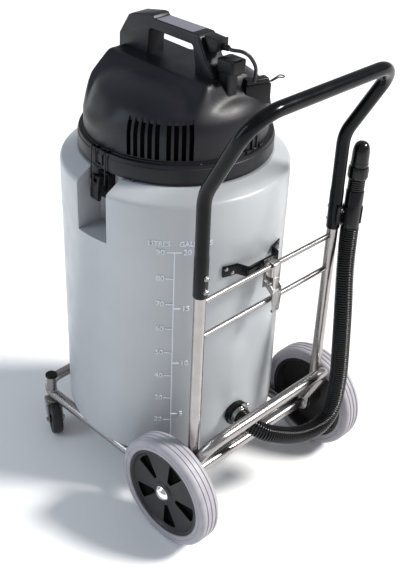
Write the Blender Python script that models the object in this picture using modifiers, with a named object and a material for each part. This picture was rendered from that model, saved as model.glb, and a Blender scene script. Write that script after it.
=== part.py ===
"""Wheeled wet and dry dust collector: drum on a tube trolley, power head, side clips and a drain hose.

Metres, +Z up. The object is drawn about the drum's axis, with +Y to the rear (push handle and big
wheels) and +X to the right-hand wheel, then carried by one empty so that the middle of its footprint,
without the hose, is the world origin on the floor.
"""

import math

import bmesh
import bpy
from mathutils import Matrix, Vector

# ---- driving dimensions ----
GAP = 0.0003

DRUM_R = 0.236
DRUM_WALL = 0.005
DRUM_BOTTOM = 0.1035
DRUM_SHOULDER = 0.743
RIM_TOP = 0.763
RIM_R = 0.2005
MOUTH_R = 0.158

RECESS_BACK = 0.172
RECESS_Y = (-0.031, 0.050)
RECESS_FLOOR = 0.636

TUBE_R = 0.0125
RAIL_X = 0.195
RAIL_Z = 0.090
RAIL_FRONT = -0.250
RAIL_BEND = 0.055

AXLE_Y = 0.245
AXLE_R = 0.010
AXLE_HALF = 0.2555
BAR_Y = 0.313
BAR_Z = 0.2625
LEG_X = 0.1946
LEG_BEND = 0.050
PLATE_X = (0.1885, 0.1945)
PLATE_LUG_R = 0.021
LEG_END = 0.022

UPRIGHT_R = 0.012
UPRIGHT_Y = 0.2725
UPRIGHT_BOTTOM = 0.178
UPRIGHT_TOP = 0.700
ROD_R = 0.0055
ROD_UPPER_Z = 0.591
ROD_LOWER_Z = 0.511

HANDLE_R = 0.0135
HANDLE_BOTTOM = 0.608
HANDLE_KNEE_Z = 0.8187
HANDLE_TOP = (0.3726, 0.9946)
HANDLE_KNEE_BEND = 0.090
HANDLE_TOP_BEND = 0.064

WHEEL_R = 0.125
WHEEL_X = 0.233
TYRE_HALF = 0.0245
TYRE_BORE = 0.1008
HUB_R = 0.1005
POCKETS = 5

CASTER_XY = (0.198, -0.202)
CASTER_YAW = math.radians(-27.0)
CASTER_TRAIL = 0.028
CASTER_R = 0.0375
CASTER_HALF = 0.0125

BRACKET_Z = (0.578, 0.602)
TOGGLE_X = -0.012
TOGGLE_PIVOT = (0.2740, 0.5450)
TOGGLE_HOOK = (0.2825, 0.5419)

OUTLET_ANGLE = math.radians(7.2)
OUTLET_Z = 0.212
INLET_Z = 0.665

CLIP_Y = -0.005
CLIP_PIVOT = (0.2035, 0.748)
CLIP_HOOK = (0.2035, 0.739)
WIRE_R = 0.0015

RING_R = 0.1986
RING_Z = (0.7658, 0.8052)
SEAL_Z = (0.7633, 0.7655)
COVER_R = 0.1864
COVER_BOTTOM = 0.8055
COVER_WALL = 0.004
LOBE = (0.058, -0.134, 0.132, 0.938)
SLOT_Z = (0.811, 0.890)
SLOT_WIDTH = 0.0085
SLOT_PITCH = math.radians(4.36)

GRIP_HALF = 0.022
ANCHOR_XY = (-0.060, 0.151)
ROCKER_AT = (0.0, 0.1500, 0.9785)
ANCHOR_TURN = -20.0
HOSE_R = 0.0195
CUFF_R = 0.0188
CUFF_FOOT = (-0.2185, 0.2985, 0.6120)
CUFF_TOP = (-0.2385, 0.2885, 0.7960)

DRUM_Y = -(HANDLE_TOP[0] + HANDLE_R + RAIL_FRONT - TUBE_R) / 2

HOSE_ROUTE = [
    (0.03296, 0.26093, 0.2120),
    (0.03497, 0.27680, 0.2120),
    (0.0330, 0.2930, 0.2080),
    (0.0180, 0.3140, 0.1965),
    (-0.0090, 0.3300, 0.1830),
    (-0.0420, 0.3420, 0.1695),
    (-0.0800, 0.3510, 0.1605),
    (-0.1150, 0.3590, 0.1660),
    (-0.1360, 0.3640, 0.1860),
    (-0.1470, 0.3660, 0.2150),
    (-0.1530, 0.3650, 0.2520),
    (-0.1575, 0.3625, 0.3000),
    (-0.1625, 0.3550, 0.3600),
    (-0.1680, 0.3465, 0.4200),
    (-0.1765, 0.3360, 0.4680),
    (-0.1885, 0.3235, 0.5060),
    (-0.2015, 0.3120, 0.5380),
    (-0.2110, 0.3040, 0.5660),
    (-0.2167, 0.2994, 0.5955),
    (-0.2184, 0.2985, 0.6112),
]


# ---- scene, materials and small helpers ----
def clear_scene():
    for thing in list(bpy.data.objects):
        bpy.data.objects.remove(thing, do_unlink=True)


def collection(name):
    group = bpy.data.collections.new(name)
    bpy.context.scene.collection.children.link(group)
    return group


clear_scene()
PARTS = collection("dust_collector")
CUTTERS = collection("cutters")
CARRIER = bpy.data.objects.new("carrier", None)
CARRIER.location = (0.0, DRUM_Y, 0.0)
PARTS.objects.link(CARRIER)


def finish(name, colour, roughness, metallic=0.0):
    made = bpy.data.materials.new(name)
    made.use_nodes = True
    shader = made.node_tree.nodes["Principled BSDF"]
    shader.inputs["Base Color"].default_value = (*colour, 1.0)
    shader.inputs["Roughness"].default_value = roughness
    shader.inputs["Metallic"].default_value = metallic
    return made


GREY_PLASTIC = finish("grey_plastic", (0.55, 0.58, 0.62), 0.45)
BLACK_PLASTIC = finish("black_plastic", (0.018, 0.018, 0.022), 0.42)
BLACK_PAINT = finish("black_paint", (0.012, 0.013, 0.015), 0.25)
STEEL = finish("stainless_steel", (0.72, 0.70, 0.67), 0.25, 1.0)
ZINC = finish("zinc_plate", (0.62, 0.61, 0.60), 0.35, 1.0)
CHROME = finish("chrome", (0.85, 0.85, 0.86), 0.08, 1.0)
TYRE_RUBBER = finish("grey_rubber", (0.36, 0.35, 0.38), 0.6)
BLACK_RUBBER = finish("black_rubber", (0.02, 0.02, 0.022), 0.7)
CLOTH = finish("filter_cloth", (0.62, 0.60, 0.55), 0.9)


def place(name, data, material, group=PARTS):
    made = bpy.data.objects.new(name, data)
    group.objects.link(made)
    made.parent = CARRIER
    if material is not None:
        data.materials.append(material)
    return made


def hide_cutter(made):
    made.hide_render = True
    made.display_type = "WIRE"
    return made


def mesh_from(name, builder):
    data = bmesh.new()
    builder(data)
    bmesh.ops.recalc_face_normals(data, faces=data.faces)
    mesh = bpy.data.meshes.new(name)
    data.to_mesh(mesh)
    data.free()
    return mesh


def box(name, low, high, material, bevel=0.0, group=PARTS):
    size = Vector(high) - Vector(low)
    centre = (Vector(high) + Vector(low)) / 2

    def builder(data):
        bmesh.ops.create_cube(data, size=1.0, matrix=Matrix.Diagonal((*size, 1.0)))

    made = place(name, mesh_from(name, builder), material, group)
    made.location = centre
    if bevel > 0.0:
        rounding = made.modifiers.new("edges", "BEVEL")
        rounding.width = bevel
        rounding.segments = 2
        rounding.limit_method = "ANGLE"
    return made


def rod(name, start, end, radius, material, sides=24, group=PARTS):
    start = Vector(start)
    end = Vector(end)
    length = (end - start).length

    def builder(data):
        bmesh.ops.create_cone(
            data, cap_ends=True, segments=sides, radius1=radius, radius2=radius, depth=length
        )

    made = place(name, mesh_from(name, builder), material, group)
    made.location = (start + end) / 2
    made.rotation_euler = (end - start).to_track_quat("Z", "Y").to_euler()
    smooth(made)
    return made


def smooth(made, angle=40.0):
    if made.type == "MESH":
        made.data.shade_smooth()
        made.data.set_sharp_from_angle(angle=math.radians(angle))


def lathe(name, profile, closed, material, steps=48, origin=(0, 0, 0), turn=(0, 0, 0), group=PARTS):
    """Turns a profile of (radius, height) points about the local Z axis; it runs down its outer side."""
    mesh = bpy.data.meshes.new(name)
    points = [(radius, 0.0, height) for radius, height in profile]
    edges = [(i, i + 1) for i in range(len(points) - 1)]
    if closed:
        edges.append((len(points) - 1, 0))
    mesh.from_pydata(points, edges, [])
    made = place(name, mesh, material, group)
    made.location = origin
    made.rotation_euler = turn
    screw = made.modifiers.new("turned", "SCREW")
    screw.axis = "Z"
    screw.steps = steps
    screw.render_steps = steps
    screw.use_merge_vertices = True
    screw.merge_threshold = 0.00005
    screw.use_smooth_shade = True
    return made


def outline_solid(name, loops, half_thickness, material, origin=(0, 0, 0), turn=(0, 0, 0), group=PARTS):
    """A flat outline, with holes as further loops, made solid on both sides of its plane."""
    curve = bpy.data.curves.new(name, "CURVE")
    curve.dimensions = "2D"
    curve.fill_mode = "BOTH"
    curve.extrude = half_thickness
    for loop in loops:
        spline = curve.splines.new("POLY")
        spline.points.add(len(loop) - 1)
        for point, (across, up) in zip(spline.points, loop):
            point.co = (across, up, 0.0, 1.0)
        spline.use_cyclic_u = True
    made = place(name, curve, material, group)
    made.location = origin
    made.rotation_euler = turn
    return made


def tube(name, points, radius, material, resolution=4, group=PARTS):
    curve = bpy.data.curves.new(name, "CURVE")
    curve.dimensions = "3D"
    curve.bevel_depth = radius
    curve.bevel_resolution = resolution
    curve.use_fill_caps = True
    spline = curve.splines.new("POLY")
    spline.points.add(len(points) - 1)
    for target, point in zip(spline.points, points):
        target.co = (*point, 1.0)
    return place(name, curve, material, group)


def as_mesh(made):
    """Swaps a curve object for a closed mesh object with the same name, place and material."""
    bpy.context.view_layer.update()
    graph = bpy.context.evaluated_depsgraph_get()
    mesh = bpy.data.meshes.new_from_object(made.evaluated_get(graph))
    data = bmesh.new()
    data.from_mesh(mesh)
    bmesh.ops.remove_doubles(data, verts=data.verts, dist=0.00001)
    bmesh.ops.recalc_face_normals(data, faces=data.faces)
    data.to_mesh(mesh)
    data.free()
    name = made.name
    group = made.users_collection[0]
    matrix = made.matrix_world.copy()
    bpy.data.objects.remove(made, do_unlink=True)
    solid = bpy.data.objects.new(name, mesh)
    group.objects.link(solid)
    solid.parent = CARRIER
    bpy.context.view_layer.update()
    solid.matrix_world = matrix
    return solid


def cut(made, cutter, operation="DIFFERENCE"):
    step = made.modifiers.new(cutter.name, "BOOLEAN")
    step.operation = operation
    step.object = cutter
    step.solver = "EXACT"
    hide_cutter(cutter)
    return made


def rounded_path(corners, radii, steps=6):
    """Follows straight runs between corners, each inner corner replaced by an arc of its radius."""
    corners = [Vector(corner) for corner in corners]
    path = [corners[0]]
    for before, corner, after, radius in zip(corners, corners[1:], corners[2:], radii):
        inward = (before - corner).normalized()
        onward = (after - corner).normalized()
        half_angle = inward.angle(onward) / 2
        reach = radius / math.tan(half_angle)
        centre = corner + (inward + onward).normalized() * (radius / math.sin(half_angle))
        start = corner + inward * reach - centre
        end = corner + onward * reach - centre
        sweep = start.angle(end)
        for step in range(steps + 1):
            part = step / steps
            arm = start * math.sin((1 - part) * sweep) + end * math.sin(part * sweep)
            path.append(centre + arm / math.sin(sweep))
    path.append(corners[-1])
    return path


def smooth_route(points, spacing):
    """A smooth curve through the points, read at even steps of about the spacing."""
    points = [Vector(point) for point in points]
    dense = []
    for index in range(len(points) - 1):
        before = points[max(index - 1, 0)]
        start = points[index]
        end = points[index + 1]
        after = points[min(index + 2, len(points) - 1)]
        for step in range(12):
            t = step / 12
            dense.append(
                0.5
                * (
                    2 * start
                    + (end - before) * t
                    + (2 * before - 5 * start + 4 * end - after) * t**2
                    + (3 * start - before - 3 * end + after) * t**3
                )
            )
    dense.append(points[-1])
    travelled = [0.0]
    for one, two in zip(dense, dense[1:]):
        travelled.append(travelled[-1] + (two - one).length)
    count = max(2, round(travelled[-1] / spacing))
    route = []
    place_at = 0
    for step in range(count + 1):
        wanted = travelled[-1] * step / count
        while place_at < len(dense) - 2 and travelled[place_at + 1] < wanted:
            place_at += 1
        span = travelled[place_at + 1] - travelled[place_at]
        route.append(dense[place_at].lerp(dense[place_at + 1], (wanted - travelled[place_at]) / span))
    return route


def arc(centre, radius, start, end, steps):
    """Points (across, up) on an arc, angles in degrees."""
    points = []
    for step in range(steps + 1):
        angle = math.radians(start + (end - start) * step / steps)
        points.append((centre[0] + radius * math.cos(angle), centre[1] + radius * math.sin(angle)))
    return points


IN_YZ = (math.pi / 2, 0.0, math.pi / 2)
ALONG_X = (0.0, math.pi / 2, 0.0)
ALONG_MINUS_X = (0.0, -math.pi / 2, 0.0)


def side_name(base, side):
    return base + ("_right" if side > 0 else "_left")


# ---- trolley frame ----
def leg_direction():
    return Vector((0.0, BAR_Y - AXLE_Y, BAR_Z - WHEEL_R)).normalized()


def base_loop():
    back = PLATE_FRONT - GAP
    corners = [
        (RAIL_X, back, RAIL_Z),
        (RAIL_X, RAIL_FRONT, RAIL_Z),
        (-RAIL_X, RAIL_FRONT, RAIL_Z),
        (-RAIL_X, back, RAIL_Z),
    ]
    tube("base_loop", rounded_path(corners, [RAIL_BEND] * 2), TUBE_R, STEEL)


PLATE_FRONT = 0.2080


def axle_plate(side):
    """Lug plate that joins the rail, the rear bar's leg and the axle."""
    rise = leg_direction()
    axle = Vector((AXLE_Y, WHEEL_R))
    up = Vector((rise.y, rise.z))
    across = Vector((-up.y, up.x))
    top_front = axle + up * (LEG_END - GAP) + across * TUBE_R
    top_back = axle + up * (LEG_END - GAP) - across * TUBE_R
    outline = [
        (PLATE_FRONT, RAIL_Z - TUBE_R),
        (PLATE_FRONT, RAIL_Z + TUBE_R),
        tuple(top_front),
        tuple(top_back),
    ]
    outline += arc((AXLE_Y, WHEEL_R), PLATE_LUG_R, -10.0, -105.0, 6)
    hole = arc((AXLE_Y, WHEEL_R), AXLE_R + 2 * GAP, 0.0, 345.0, 23)
    middle = side * (PLATE_X[0] + PLATE_X[1]) / 2
    half = (PLATE_X[1] - PLATE_X[0]) / 2
    outline_solid(
        side_name("axle_plate", side), [outline, hole], half, STEEL, origin=(middle, 0, 0), turn=IN_YZ
    )


def axle():
    bore = AXLE_R + 0.0008
    half = PLATE_X[0] - GAP
    profile = [(TUBE_R, half), (TUBE_R, -half), (bore, -half), (bore, half)]
    lathe("axle_tube", profile, True, STEEL, 24, origin=(0, AXLE_Y, WHEEL_R), turn=ALONG_X)
    ends = (-AXLE_HALF, AXLE_Y, WHEEL_R), (AXLE_HALF, AXLE_Y, WHEEL_R)
    rod("axle_rod", *ends, AXLE_R, ZINC)


def rear_bar():
    foot = Vector((0.0, AXLE_Y, WHEEL_R)) + leg_direction() * LEG_END
    corners = [
        (LEG_X, foot.y, foot.z),
        (LEG_X, BAR_Y, BAR_Z),
        (-LEG_X, BAR_Y, BAR_Z),
        (-LEG_X, foot.y, foot.z),
    ]
    tube("rear_bar", rounded_path(corners, [LEG_BEND] * 2), TUBE_R, STEEL)


def upright(side):
    """Vertical tube, its foot shaped to sit on the rear bar's leg."""
    name = side_name("upright", side)
    x = side * LEG_X
    made = rod(name, (x, UPRIGHT_Y, UPRIGHT_BOTTOM), (x, UPRIGHT_Y, UPRIGHT_TOP), UPRIGHT_R, STEEL)
    low = Vector((x, AXLE_Y, WHEEL_R))
    high = low + leg_direction() * 0.25
    cutter = rod(name + "_saddle", low, high, TUBE_R + GAP, None, 32, CUTTERS)
    cut(made, cutter)


def cross_rods():
    reach = LEG_X - UPRIGHT_R - GAP
    for name, z in (("upper_rod", ROD_UPPER_Z), ("lower_rod", ROD_LOWER_Z)):
        rod(name, (-reach, UPRIGHT_Y, z), (reach, UPRIGHT_Y, z), ROD_R, STEEL, 16)


def push_handle():
    """Bent tube whose two open ends slip over the uprights."""
    top_y, top_z = HANDLE_TOP
    corners = []
    for x in (LEG_X, -LEG_X):
        corners.append([(x, UPRIGHT_Y, HANDLE_BOTTOM), (x, UPRIGHT_Y, HANDLE_KNEE_Z), (x, top_y, top_z)])
    corners = corners[0] + corners[1][::-1]
    bends = [HANDLE_KNEE_BEND, HANDLE_TOP_BEND, HANDLE_TOP_BEND, HANDLE_KNEE_BEND]
    made = as_mesh(tube("push_handle", rounded_path(corners, bends), HANDLE_R, BLACK_PAINT))
    for side in (1, -1):
        x = side * LEG_X
        low = (x, UPRIGHT_Y, HANDLE_BOTTOM - 0.01)
        high = (x, UPRIGHT_Y, UPRIGHT_TOP + 0.005)
        name = side_name("handle_bore", side)
        cut(made, rod(name, low, high, UPRIGHT_R + GAP, None, 24, CUTTERS))


def caster_socket(side):
    x, y = CASTER_XY
    radius = 0.0112
    low = (side * x, y, RAIL_Z + TUBE_R + GAP)
    rod(side_name("caster_socket", side), low, (side * x, y, 0.150), radius, STEEL, 20)


def hose_clip():
    """Spring ring round the hose's cuff, with a tab behind the left sleeve of the handle."""
    axis = (Vector(CUFF_TOP) - Vector(CUFF_FOOT)).normalized()
    centre = Vector(CUFF_FOOT) + axis * 0.028
    opening = 140.0
    ring = arc((0, 0), 0.0213, opening + 35, opening + 325, 20)
    ring += arc((0, 0), CUFF_R + GAP, opening + 325, opening + 35, 20)
    turn = axis.to_track_quat("Z", "Y").to_euler()
    made = as_mesh(outline_solid("hose_clip", [ring], 0.018, BLACK_PLASTIC, origin=centre, turn=turn))
    sleeve_back = UPRIGHT_Y + HANDLE_R + GAP
    tab = box(
        "clip_tab",
        (-0.2080, sleeve_back, 0.622),
        (-0.1800, sleeve_back + 0.0045, 0.664),
        None,
        group=CUTTERS,
    )
    cut(made, tab, "UNION")
    cut(made, rod("clip_bore", centre - axis * 0.03, centre + axis * 0.03, CUFF_R + GAP, None, 32, CUTTERS))


# ---- wheels ----
def wheel(side):
    turn = ALONG_X if side > 0 else ALONG_MINUS_X
    origin = (side * WHEEL_X, AXLE_Y, WHEEL_R)
    tyre = [
        (0.1190, TYRE_HALF),
        (0.1235, 0.0205),
        (WHEEL_R, 0.0140),
        (WHEEL_R, -0.0140),
        (0.1235, -0.0205),
        (0.1190, -TYRE_HALF),
        (TYRE_BORE, -TYRE_HALF),
        (TYRE_BORE, TYRE_HALF),
    ]
    lathe(side_name("wheel_tyre", side), tyre, True, TYRE_RUBBER, 40, origin, turn)
    bore = AXLE_R + 0.0004
    hub = [
        (HUB_R, 0.0225),
        (HUB_R, -0.0220),
        (0.0935, -0.0220),
        (0.0935, 0.0060),
        (0.0220, 0.0060),
        (0.0220, -0.0345),
        (bore, -0.0345),
        (bore, 0.0225),
        (0.0200, 0.0225),
        (0.0240, 0.0185),
        (0.0900, 0.0185),
        (0.0935, 0.0225),
    ]
    name = side_name("wheel_hub", side)
    made = lathe(name, hub, True, BLACK_PLASTIC, 40, origin, turn)
    cut(made, hub_pockets(name + "_pockets", origin, turn))
    cap = [(0.0, 0.0325), (0.0060, 0.0318), (0.0110, 0.0297), (0.0150, 0.0262), (0.0165, 0.0228), (0.0, 0.0228)]
    lathe(side_name("hub_cap", side), cap, False, CHROME, 24, origin, turn)


def hub_pockets(name, origin, turn):
    """Five wedge pockets in the hub's web."""

    def builder(data):
        for index in range(POCKETS):
            spin = Matrix.Rotation(2 * math.pi * (index + 0.18) / POCKETS, 4, "Z")
            corners = []
            for z in (0.0085, 0.03):
                for r, half in ((0.036, 0.005), (0.084, 0.018)):
                    corners.append(((r, -half, z), (r, half, z)))
            low_in, low_out, high_in, high_out = corners
            ring = [low_in[0], low_out[0], low_out[1], low_in[1]]
            top = [high_in[0], high_out[0], high_out[1], high_in[1]]
            below = [data.verts.new(spin @ Vector(point)) for point in ring]
            above = [data.verts.new(spin @ Vector(point)) for point in top]
            data.faces.new(below[::-1])
            data.faces.new(above)
            for i in range(4):
                j = (i + 1) % 4
                data.faces.new((below[i], below[j], above[j], above[i]))

    made = place(name, mesh_from(name, builder), None, CUTTERS)
    made.location = origin
    made.rotation_euler = turn
    return made


def caster(side):
    """Swivel caster: fork, tyre and core, turned a little as if just rolled."""
    x, y = CASTER_XY
    origin = (side * x, y, 0.0)
    spin = Matrix.Rotation(CASTER_YAW, 4, "Z")
    top = RAIL_Z - TUBE_R - GAP
    outline = [
        (-0.014, top),
        (0.018, top),
        (0.037, 0.047),
        (0.040, 0.037),
        (0.034, 0.0285),
        (0.022, 0.0280),
        (-0.014, 0.0640),
    ]
    fork_name = side_name("caster_fork", side)
    fork = as_mesh(outline_solid(fork_name, [outline], 0.0180, ZINC, turn=IN_YZ))
    fork.location = origin
    fork.rotation_euler = (0, 0, CASTER_YAW)
    fork.data.transform(Matrix.Rotation(math.pi / 2, 4, "Z") @ Matrix.Rotation(math.pi / 2, 4, "X"))
    slot = box(fork_name + "_slot", (-0.0152, 0.004, -0.01), (0.0152, 0.10, 0.12), None, group=CUTTERS)
    throat = box(fork_name + "_throat", (-0.0152, -0.10, -0.01), (0.0152, 0.02, 0.0700), None, group=CUTTERS)
    for cutter in (slot, throat):
        cutter.data.transform(Matrix.Translation(cutter.location))
        cutter.location = origin
        cutter.rotation_euler = (0, 0, CASTER_YAW)
        cut(fork, cutter)
    centre = Vector(origin) + spin @ Vector((0, CASTER_TRAIL, CASTER_R))
    turn = (0.0, math.pi / 2, CASTER_YAW)
    tyre = [
        (0.0345, CASTER_HALF),
        (CASTER_R, 0.0085),
        (CASTER_R, -0.0085),
        (0.0345, -CASTER_HALF),
        (0.0250, -CASTER_HALF),
        (0.0250, CASTER_HALF),
    ]
    lathe(side_name("caster_tyre", side), tyre, True, TYRE_RUBBER, 24, centre, turn)
    core = [
        (0.0, 0.0148),
        (0.0090, 0.0148),
        (0.0100, 0.0100),
        (0.0205, 0.0100),
        (0.0247, 0.0115),
        (0.0247, -0.0115),
        (0.0205, -0.0100),
        (0.0100, -0.0100),
        (0.0090, -0.0148),
        (0.0, -0.0148),
    ]
    lathe(side_name("caster_core", side), core, False, BLACK_PLASTIC, 24, centre, turn)


# ---- drum ----
def drum():
    wall = DRUM_WALL
    outer = [
        (0.0, RIM_TOP),
        (RIM_R, RIM_TOP),
        (0.2240, 0.7490),
        (0.2325, DRUM_SHOULDER - 0.002),
        (DRUM_R, 0.7330),
        (DRUM_R, 0.1580),
        (0.2342, 0.1440),
        (0.2300, 0.1290),
        (0.2235, 0.1160),
        (0.2140, 0.1070),
        (0.2050, DRUM_BOTTOM),
        (0.0, DRUM_BOTTOM),
    ]
    inner = [
        (0.0, RIM_TOP + 0.01),
        (MOUTH_R, RIM_TOP + 0.01),
        (MOUTH_R, RIM_TOP - wall),
        (RIM_R - 0.003, RIM_TOP - wall),
        (0.2210, 0.7445),
        (DRUM_R - wall, 0.7315),
        (DRUM_R - wall, 0.1590),
        (0.2292, 0.1450),
        (0.2252, 0.1312),
        (0.2195, 0.1197),
        (0.2118, 0.1120),
        (0.2040, DRUM_BOTTOM + wall),
        (0.0, DRUM_BOTTOM + wall),
    ]
    made = lathe("drum", outer, False, GREY_PLASTIC, 48)
    hollow = lathe("drum_hollow", inner, False, None, 48, group=CUTTERS)
    for side in (1, -1):
        cut(made, recess_block(side_name("recess", side), side, 0.0))
        cut(hollow, recess_block(side_name("recess_wall", side), side, wall))
    cut(made, hollow)
    cut(made, port_hole("outlet_hole", OUTLET_ANGLE, OUTLET_Z, 0.0165))
    cut(made, port_hole("inlet_hole", math.pi, INLET_Z, 0.0220))


def recess_block(name, side, grow):
    near = side * (RECESS_BACK - grow)
    far = side * 0.30
    low = (min(near, far), RECESS_Y[0] - grow, RECESS_FLOOR - grow)
    high = (max(near, far), RECESS_Y[1] + grow, 0.80)
    return box(name, low, high, None, group=CUTTERS)


def radial(angle, distance, z):
    """A point at a distance from the drum's axis, the angle measured from the rear towards +X."""
    return Vector((distance * math.sin(angle), distance * math.cos(angle), z))


def port_hole(name, angle, z, radius):
    return rod(name, radial(angle, 0.20, z), radial(angle, 0.26, z), radius, None, 24, CUTTERS)


def port_turn(angle):
    return radial(angle, 1.0, 0.0).to_track_quat("Z", "Y").to_euler()


def drain_outlet():
    face = DRUM_R + GAP
    profile = [
        (0.0195, face + 0.0257),
        (0.0195, face + 0.0115),
        (0.0270, face + 0.0115),
        (0.0290, face + 0.0090),
        (0.0290, face),
        (0.0165, face),
        (0.0165, face + 0.0257),
    ]
    turn = port_turn(OUTLET_ANGLE)
    lathe("outlet_flange", profile, True, BLACK_PLASTIC, 32, (0, 0, OUTLET_Z), turn)
    band = [(0.0225, 0.2605), (0.0225, 0.2500), (0.0198, 0.2500), (0.0198, 0.2605)]
    clamp = lathe("hose_clamp", band, True, ZINC, 32, (0, 0, OUTLET_Z), turn)
    low = (-0.0200, 0.2500, OUTLET_Z + 0.0206)
    high = (0.0010, 0.2620, OUTLET_Z + 0.0290)
    housing = box("clamp_housing", low, high, None, group=CUTTERS)
    housing.data.transform(Matrix.Translation(housing.location))
    housing.location = (0, 0, 0)
    housing.rotation_euler = (0, 0, -OUTLET_ANGLE)
    cut(clamp, housing, "UNION")


def inlet_port():
    face = DRUM_R + GAP
    profile = [
        (0.0260, face + 0.0252),
        (0.0270, face + 0.0240),
        (0.0270, face + 0.0070),
        (0.0380, face + 0.0055),
        (0.0390, face),
        (0.0220, face),
        (0.0220, face + 0.0252),
    ]
    lathe("inlet_port", profile, True, BLACK_PLASTIC, 32, (0, 0, INLET_Z), port_turn(math.pi))


def strip_outline(centreline, thickness):
    """Closed outline of a folded strip, its folds mitred."""
    points = [Vector(point) for point in centreline]
    left = []
    right = []
    for index, point in enumerate(points):
        before = (point - points[index - 1]).normalized() if index > 0 else None
        after = (points[index + 1] - point).normalized() if index < len(points) - 1 else None
        if before is None:
            before = after
        if after is None:
            after = before
        bisector = (before + after).normalized()
        normal = Vector((-bisector.y, bisector.x))
        reach = thickness / 2 / max(normal.dot(Vector((-before.y, before.x))), 0.3)
        left.append(tuple(point + normal * reach))
        right.append(tuple(point - normal * reach))
    return left + right[::-1]


def drum_bracket():
    """Folded strap: two feet on the drum and a bar held off it."""
    sheet = 0.003
    reach = DRUM_R + GAP + sheet / 2 + 0.0006
    half = []
    for degrees in (20.5, 16.5, 12.5):
        angle = math.radians(degrees)
        half.append((reach * math.sin(angle), reach * math.cos(angle)))
    half.append((0.0440, 0.2560))
    centreline = half + [(-x, y) for x, y in half[::-1]]
    middle = (BRACKET_Z[0] + BRACKET_Z[1]) / 2
    tall = (BRACKET_Z[1] - BRACKET_Z[0]) / 2
    outline = strip_outline(centreline, sheet)
    outline_solid("drum_bracket", [outline], tall, BLACK_PAINT, origin=(0, 0, middle))


def toggle():
    """Over-centre latch that ties the bracket to the upper rod: base, lever and hooked strap."""
    x = TOGGLE_X
    back = 0.2578
    pin_y, pin_z = TOGGLE_PIVOT
    base = box("toggle_base", (x - 0.013, back, 0.536), (x + 0.013, back + 0.002, 0.600), ZINC)
    for index, centre in enumerate((x - 0.010, x + 0.010)):
        low = (centre - 0.001, back + 0.001, pin_z - 0.0065)
        high = (centre + 0.001, pin_y + 0.0038, pin_z + 0.0060)
        cut(base, box("toggle_ear_%d" % index, low, high, None, group=CUTTERS), "UNION")
    lever = box("toggle_lever", (x - 0.0137, 0.2860, 0.487), (x + 0.0137, 0.2878, 0.5335), ZINC)
    for index, centre in enumerate((x - 0.0127, x + 0.0127)):
        low = (centre - 0.001, pin_y - 0.0050, 0.5280)
        high = (centre + 0.001, 0.2870, pin_z + 0.0060)
        cut(lever, box("lever_cheek_%d" % index, low, high, None, group=CUTTERS), "UNION")
    rod_top = ROD_UPPER_Z + ROD_R
    hook_y, hook_z = TOGGLE_HOOK
    outline = [
        (hook_y, hook_z - 0.0040),
        (hook_y, rod_top + 0.0016),
        (UPRIGHT_Y - ROD_R - 0.0010, rod_top + 0.0016),
    ]
    strip = strip_outline(outline, 0.002)
    outline_solid("toggle_strap", [strip], 0.010, STEEL, origin=(x, 0, 0), turn=IN_YZ)


# ---- side clips ----
def side_clip(side):
    """Base in the drum's recess, a lever, and a wire bail hooked over the head's ring."""
    base_low = (RECESS_BACK + GAP, CLIP_Y - 0.016, 0.700)
    base_high = (0.1900, CLIP_Y + 0.016, 0.7560)
    base = box(side_name("clip_base", side), *mirror_box(base_low, base_high, side), BLACK_PLASTIC, 0.001)
    x, z = CLIP_PIVOT
    tongue = [(x - 0.018, z - 0.0040), (x, z - 0.0040)]
    tongue += arc((x, z), 0.0040, -75.0, 75.0, 6)
    tongue += [(x, z + 0.0040), (x - 0.018, z + 0.0040)]
    shape = [(side * across, up) for across, up in tongue]
    turn = (math.pi / 2, 0.0, 0.0)
    origin = (0, CLIP_Y, 0)
    name = side_name("clip_tongue", side)
    ear = as_mesh(outline_solid(name, [shape], 0.0040, None, origin=origin, turn=turn, group=CUTTERS))
    cut(base, ear, "UNION")
    outline = [
        (x - 0.0065, z),
        (x - 0.0046, z - 0.0046),
        (x - 0.0040, z - 0.0190),
        (x - 0.0010, z - 0.0270),
        (x + 0.0010, z - 0.0470),
        (x + 0.0035, z - 0.0530),
        (x + 0.0085, z - 0.0520),
        (x + 0.0105, z - 0.0460),
        (x + 0.0100, z - 0.0250),
        (x + 0.0070, z - 0.0060),
        (x + 0.0065, z),
        (x + 0.0046, z + 0.0046),
        (x, z + 0.0065),
        (x - 0.0046, z + 0.0046),
    ]
    shape = [(side * across, up) for across, up in outline]
    name = side_name("clip_lever", side)
    lever = as_mesh(outline_solid(name, [shape], 0.0116, BLACK_PLASTIC, origin=origin, turn=turn))
    low = (x - 0.020, CLIP_Y - 0.0046, z - 0.0075)
    high = (x + 0.020, CLIP_Y + 0.0046, z + 0.0200)
    cut(lever, box(name + "_slot", *mirror_box(low, high, side), None, group=CUTTERS))
    tube(side_name("clip_wire", side), bail_path(side), WIRE_R, STEEL, 2)


def mirror_box(low, high, side):
    near, far = sorted((side * low[0], side * high[0]))
    return (near, low[1], low[2]), (far, high[1], high[2])


def bail_path(side):
    """Two hooks side by side over the ring, joined across the middle and ending at the lever's sides."""
    out_x = RING_R + 0.0005 + WIRE_R
    in_x = 0.1890
    top = RING_Z[1] + GAP + WIRE_R
    foot = CLIP_HOOK[1]
    middle = 0.7760
    corners = []
    for direction in (-1, 1):
        outer = CLIP_Y + direction * 0.0205
        inner = CLIP_Y + direction * 0.0095
        hook = [
            (CLIP_HOOK[0], outer - direction * 0.0086, foot),
            (CLIP_HOOK[0], outer, foot),
            (out_x, outer, top),
            (in_x, outer, top),
            (in_x, inner, top),
            (out_x, inner, top),
            (out_x, inner, middle),
        ]
        corners.append(hook)
    whole = corners[0] + corners[1][::-1]
    whole = [(side * x, y, z) for x, y, z in whole]
    return rounded_path(whole, [0.003] * (len(whole) - 2), 3)


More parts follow.
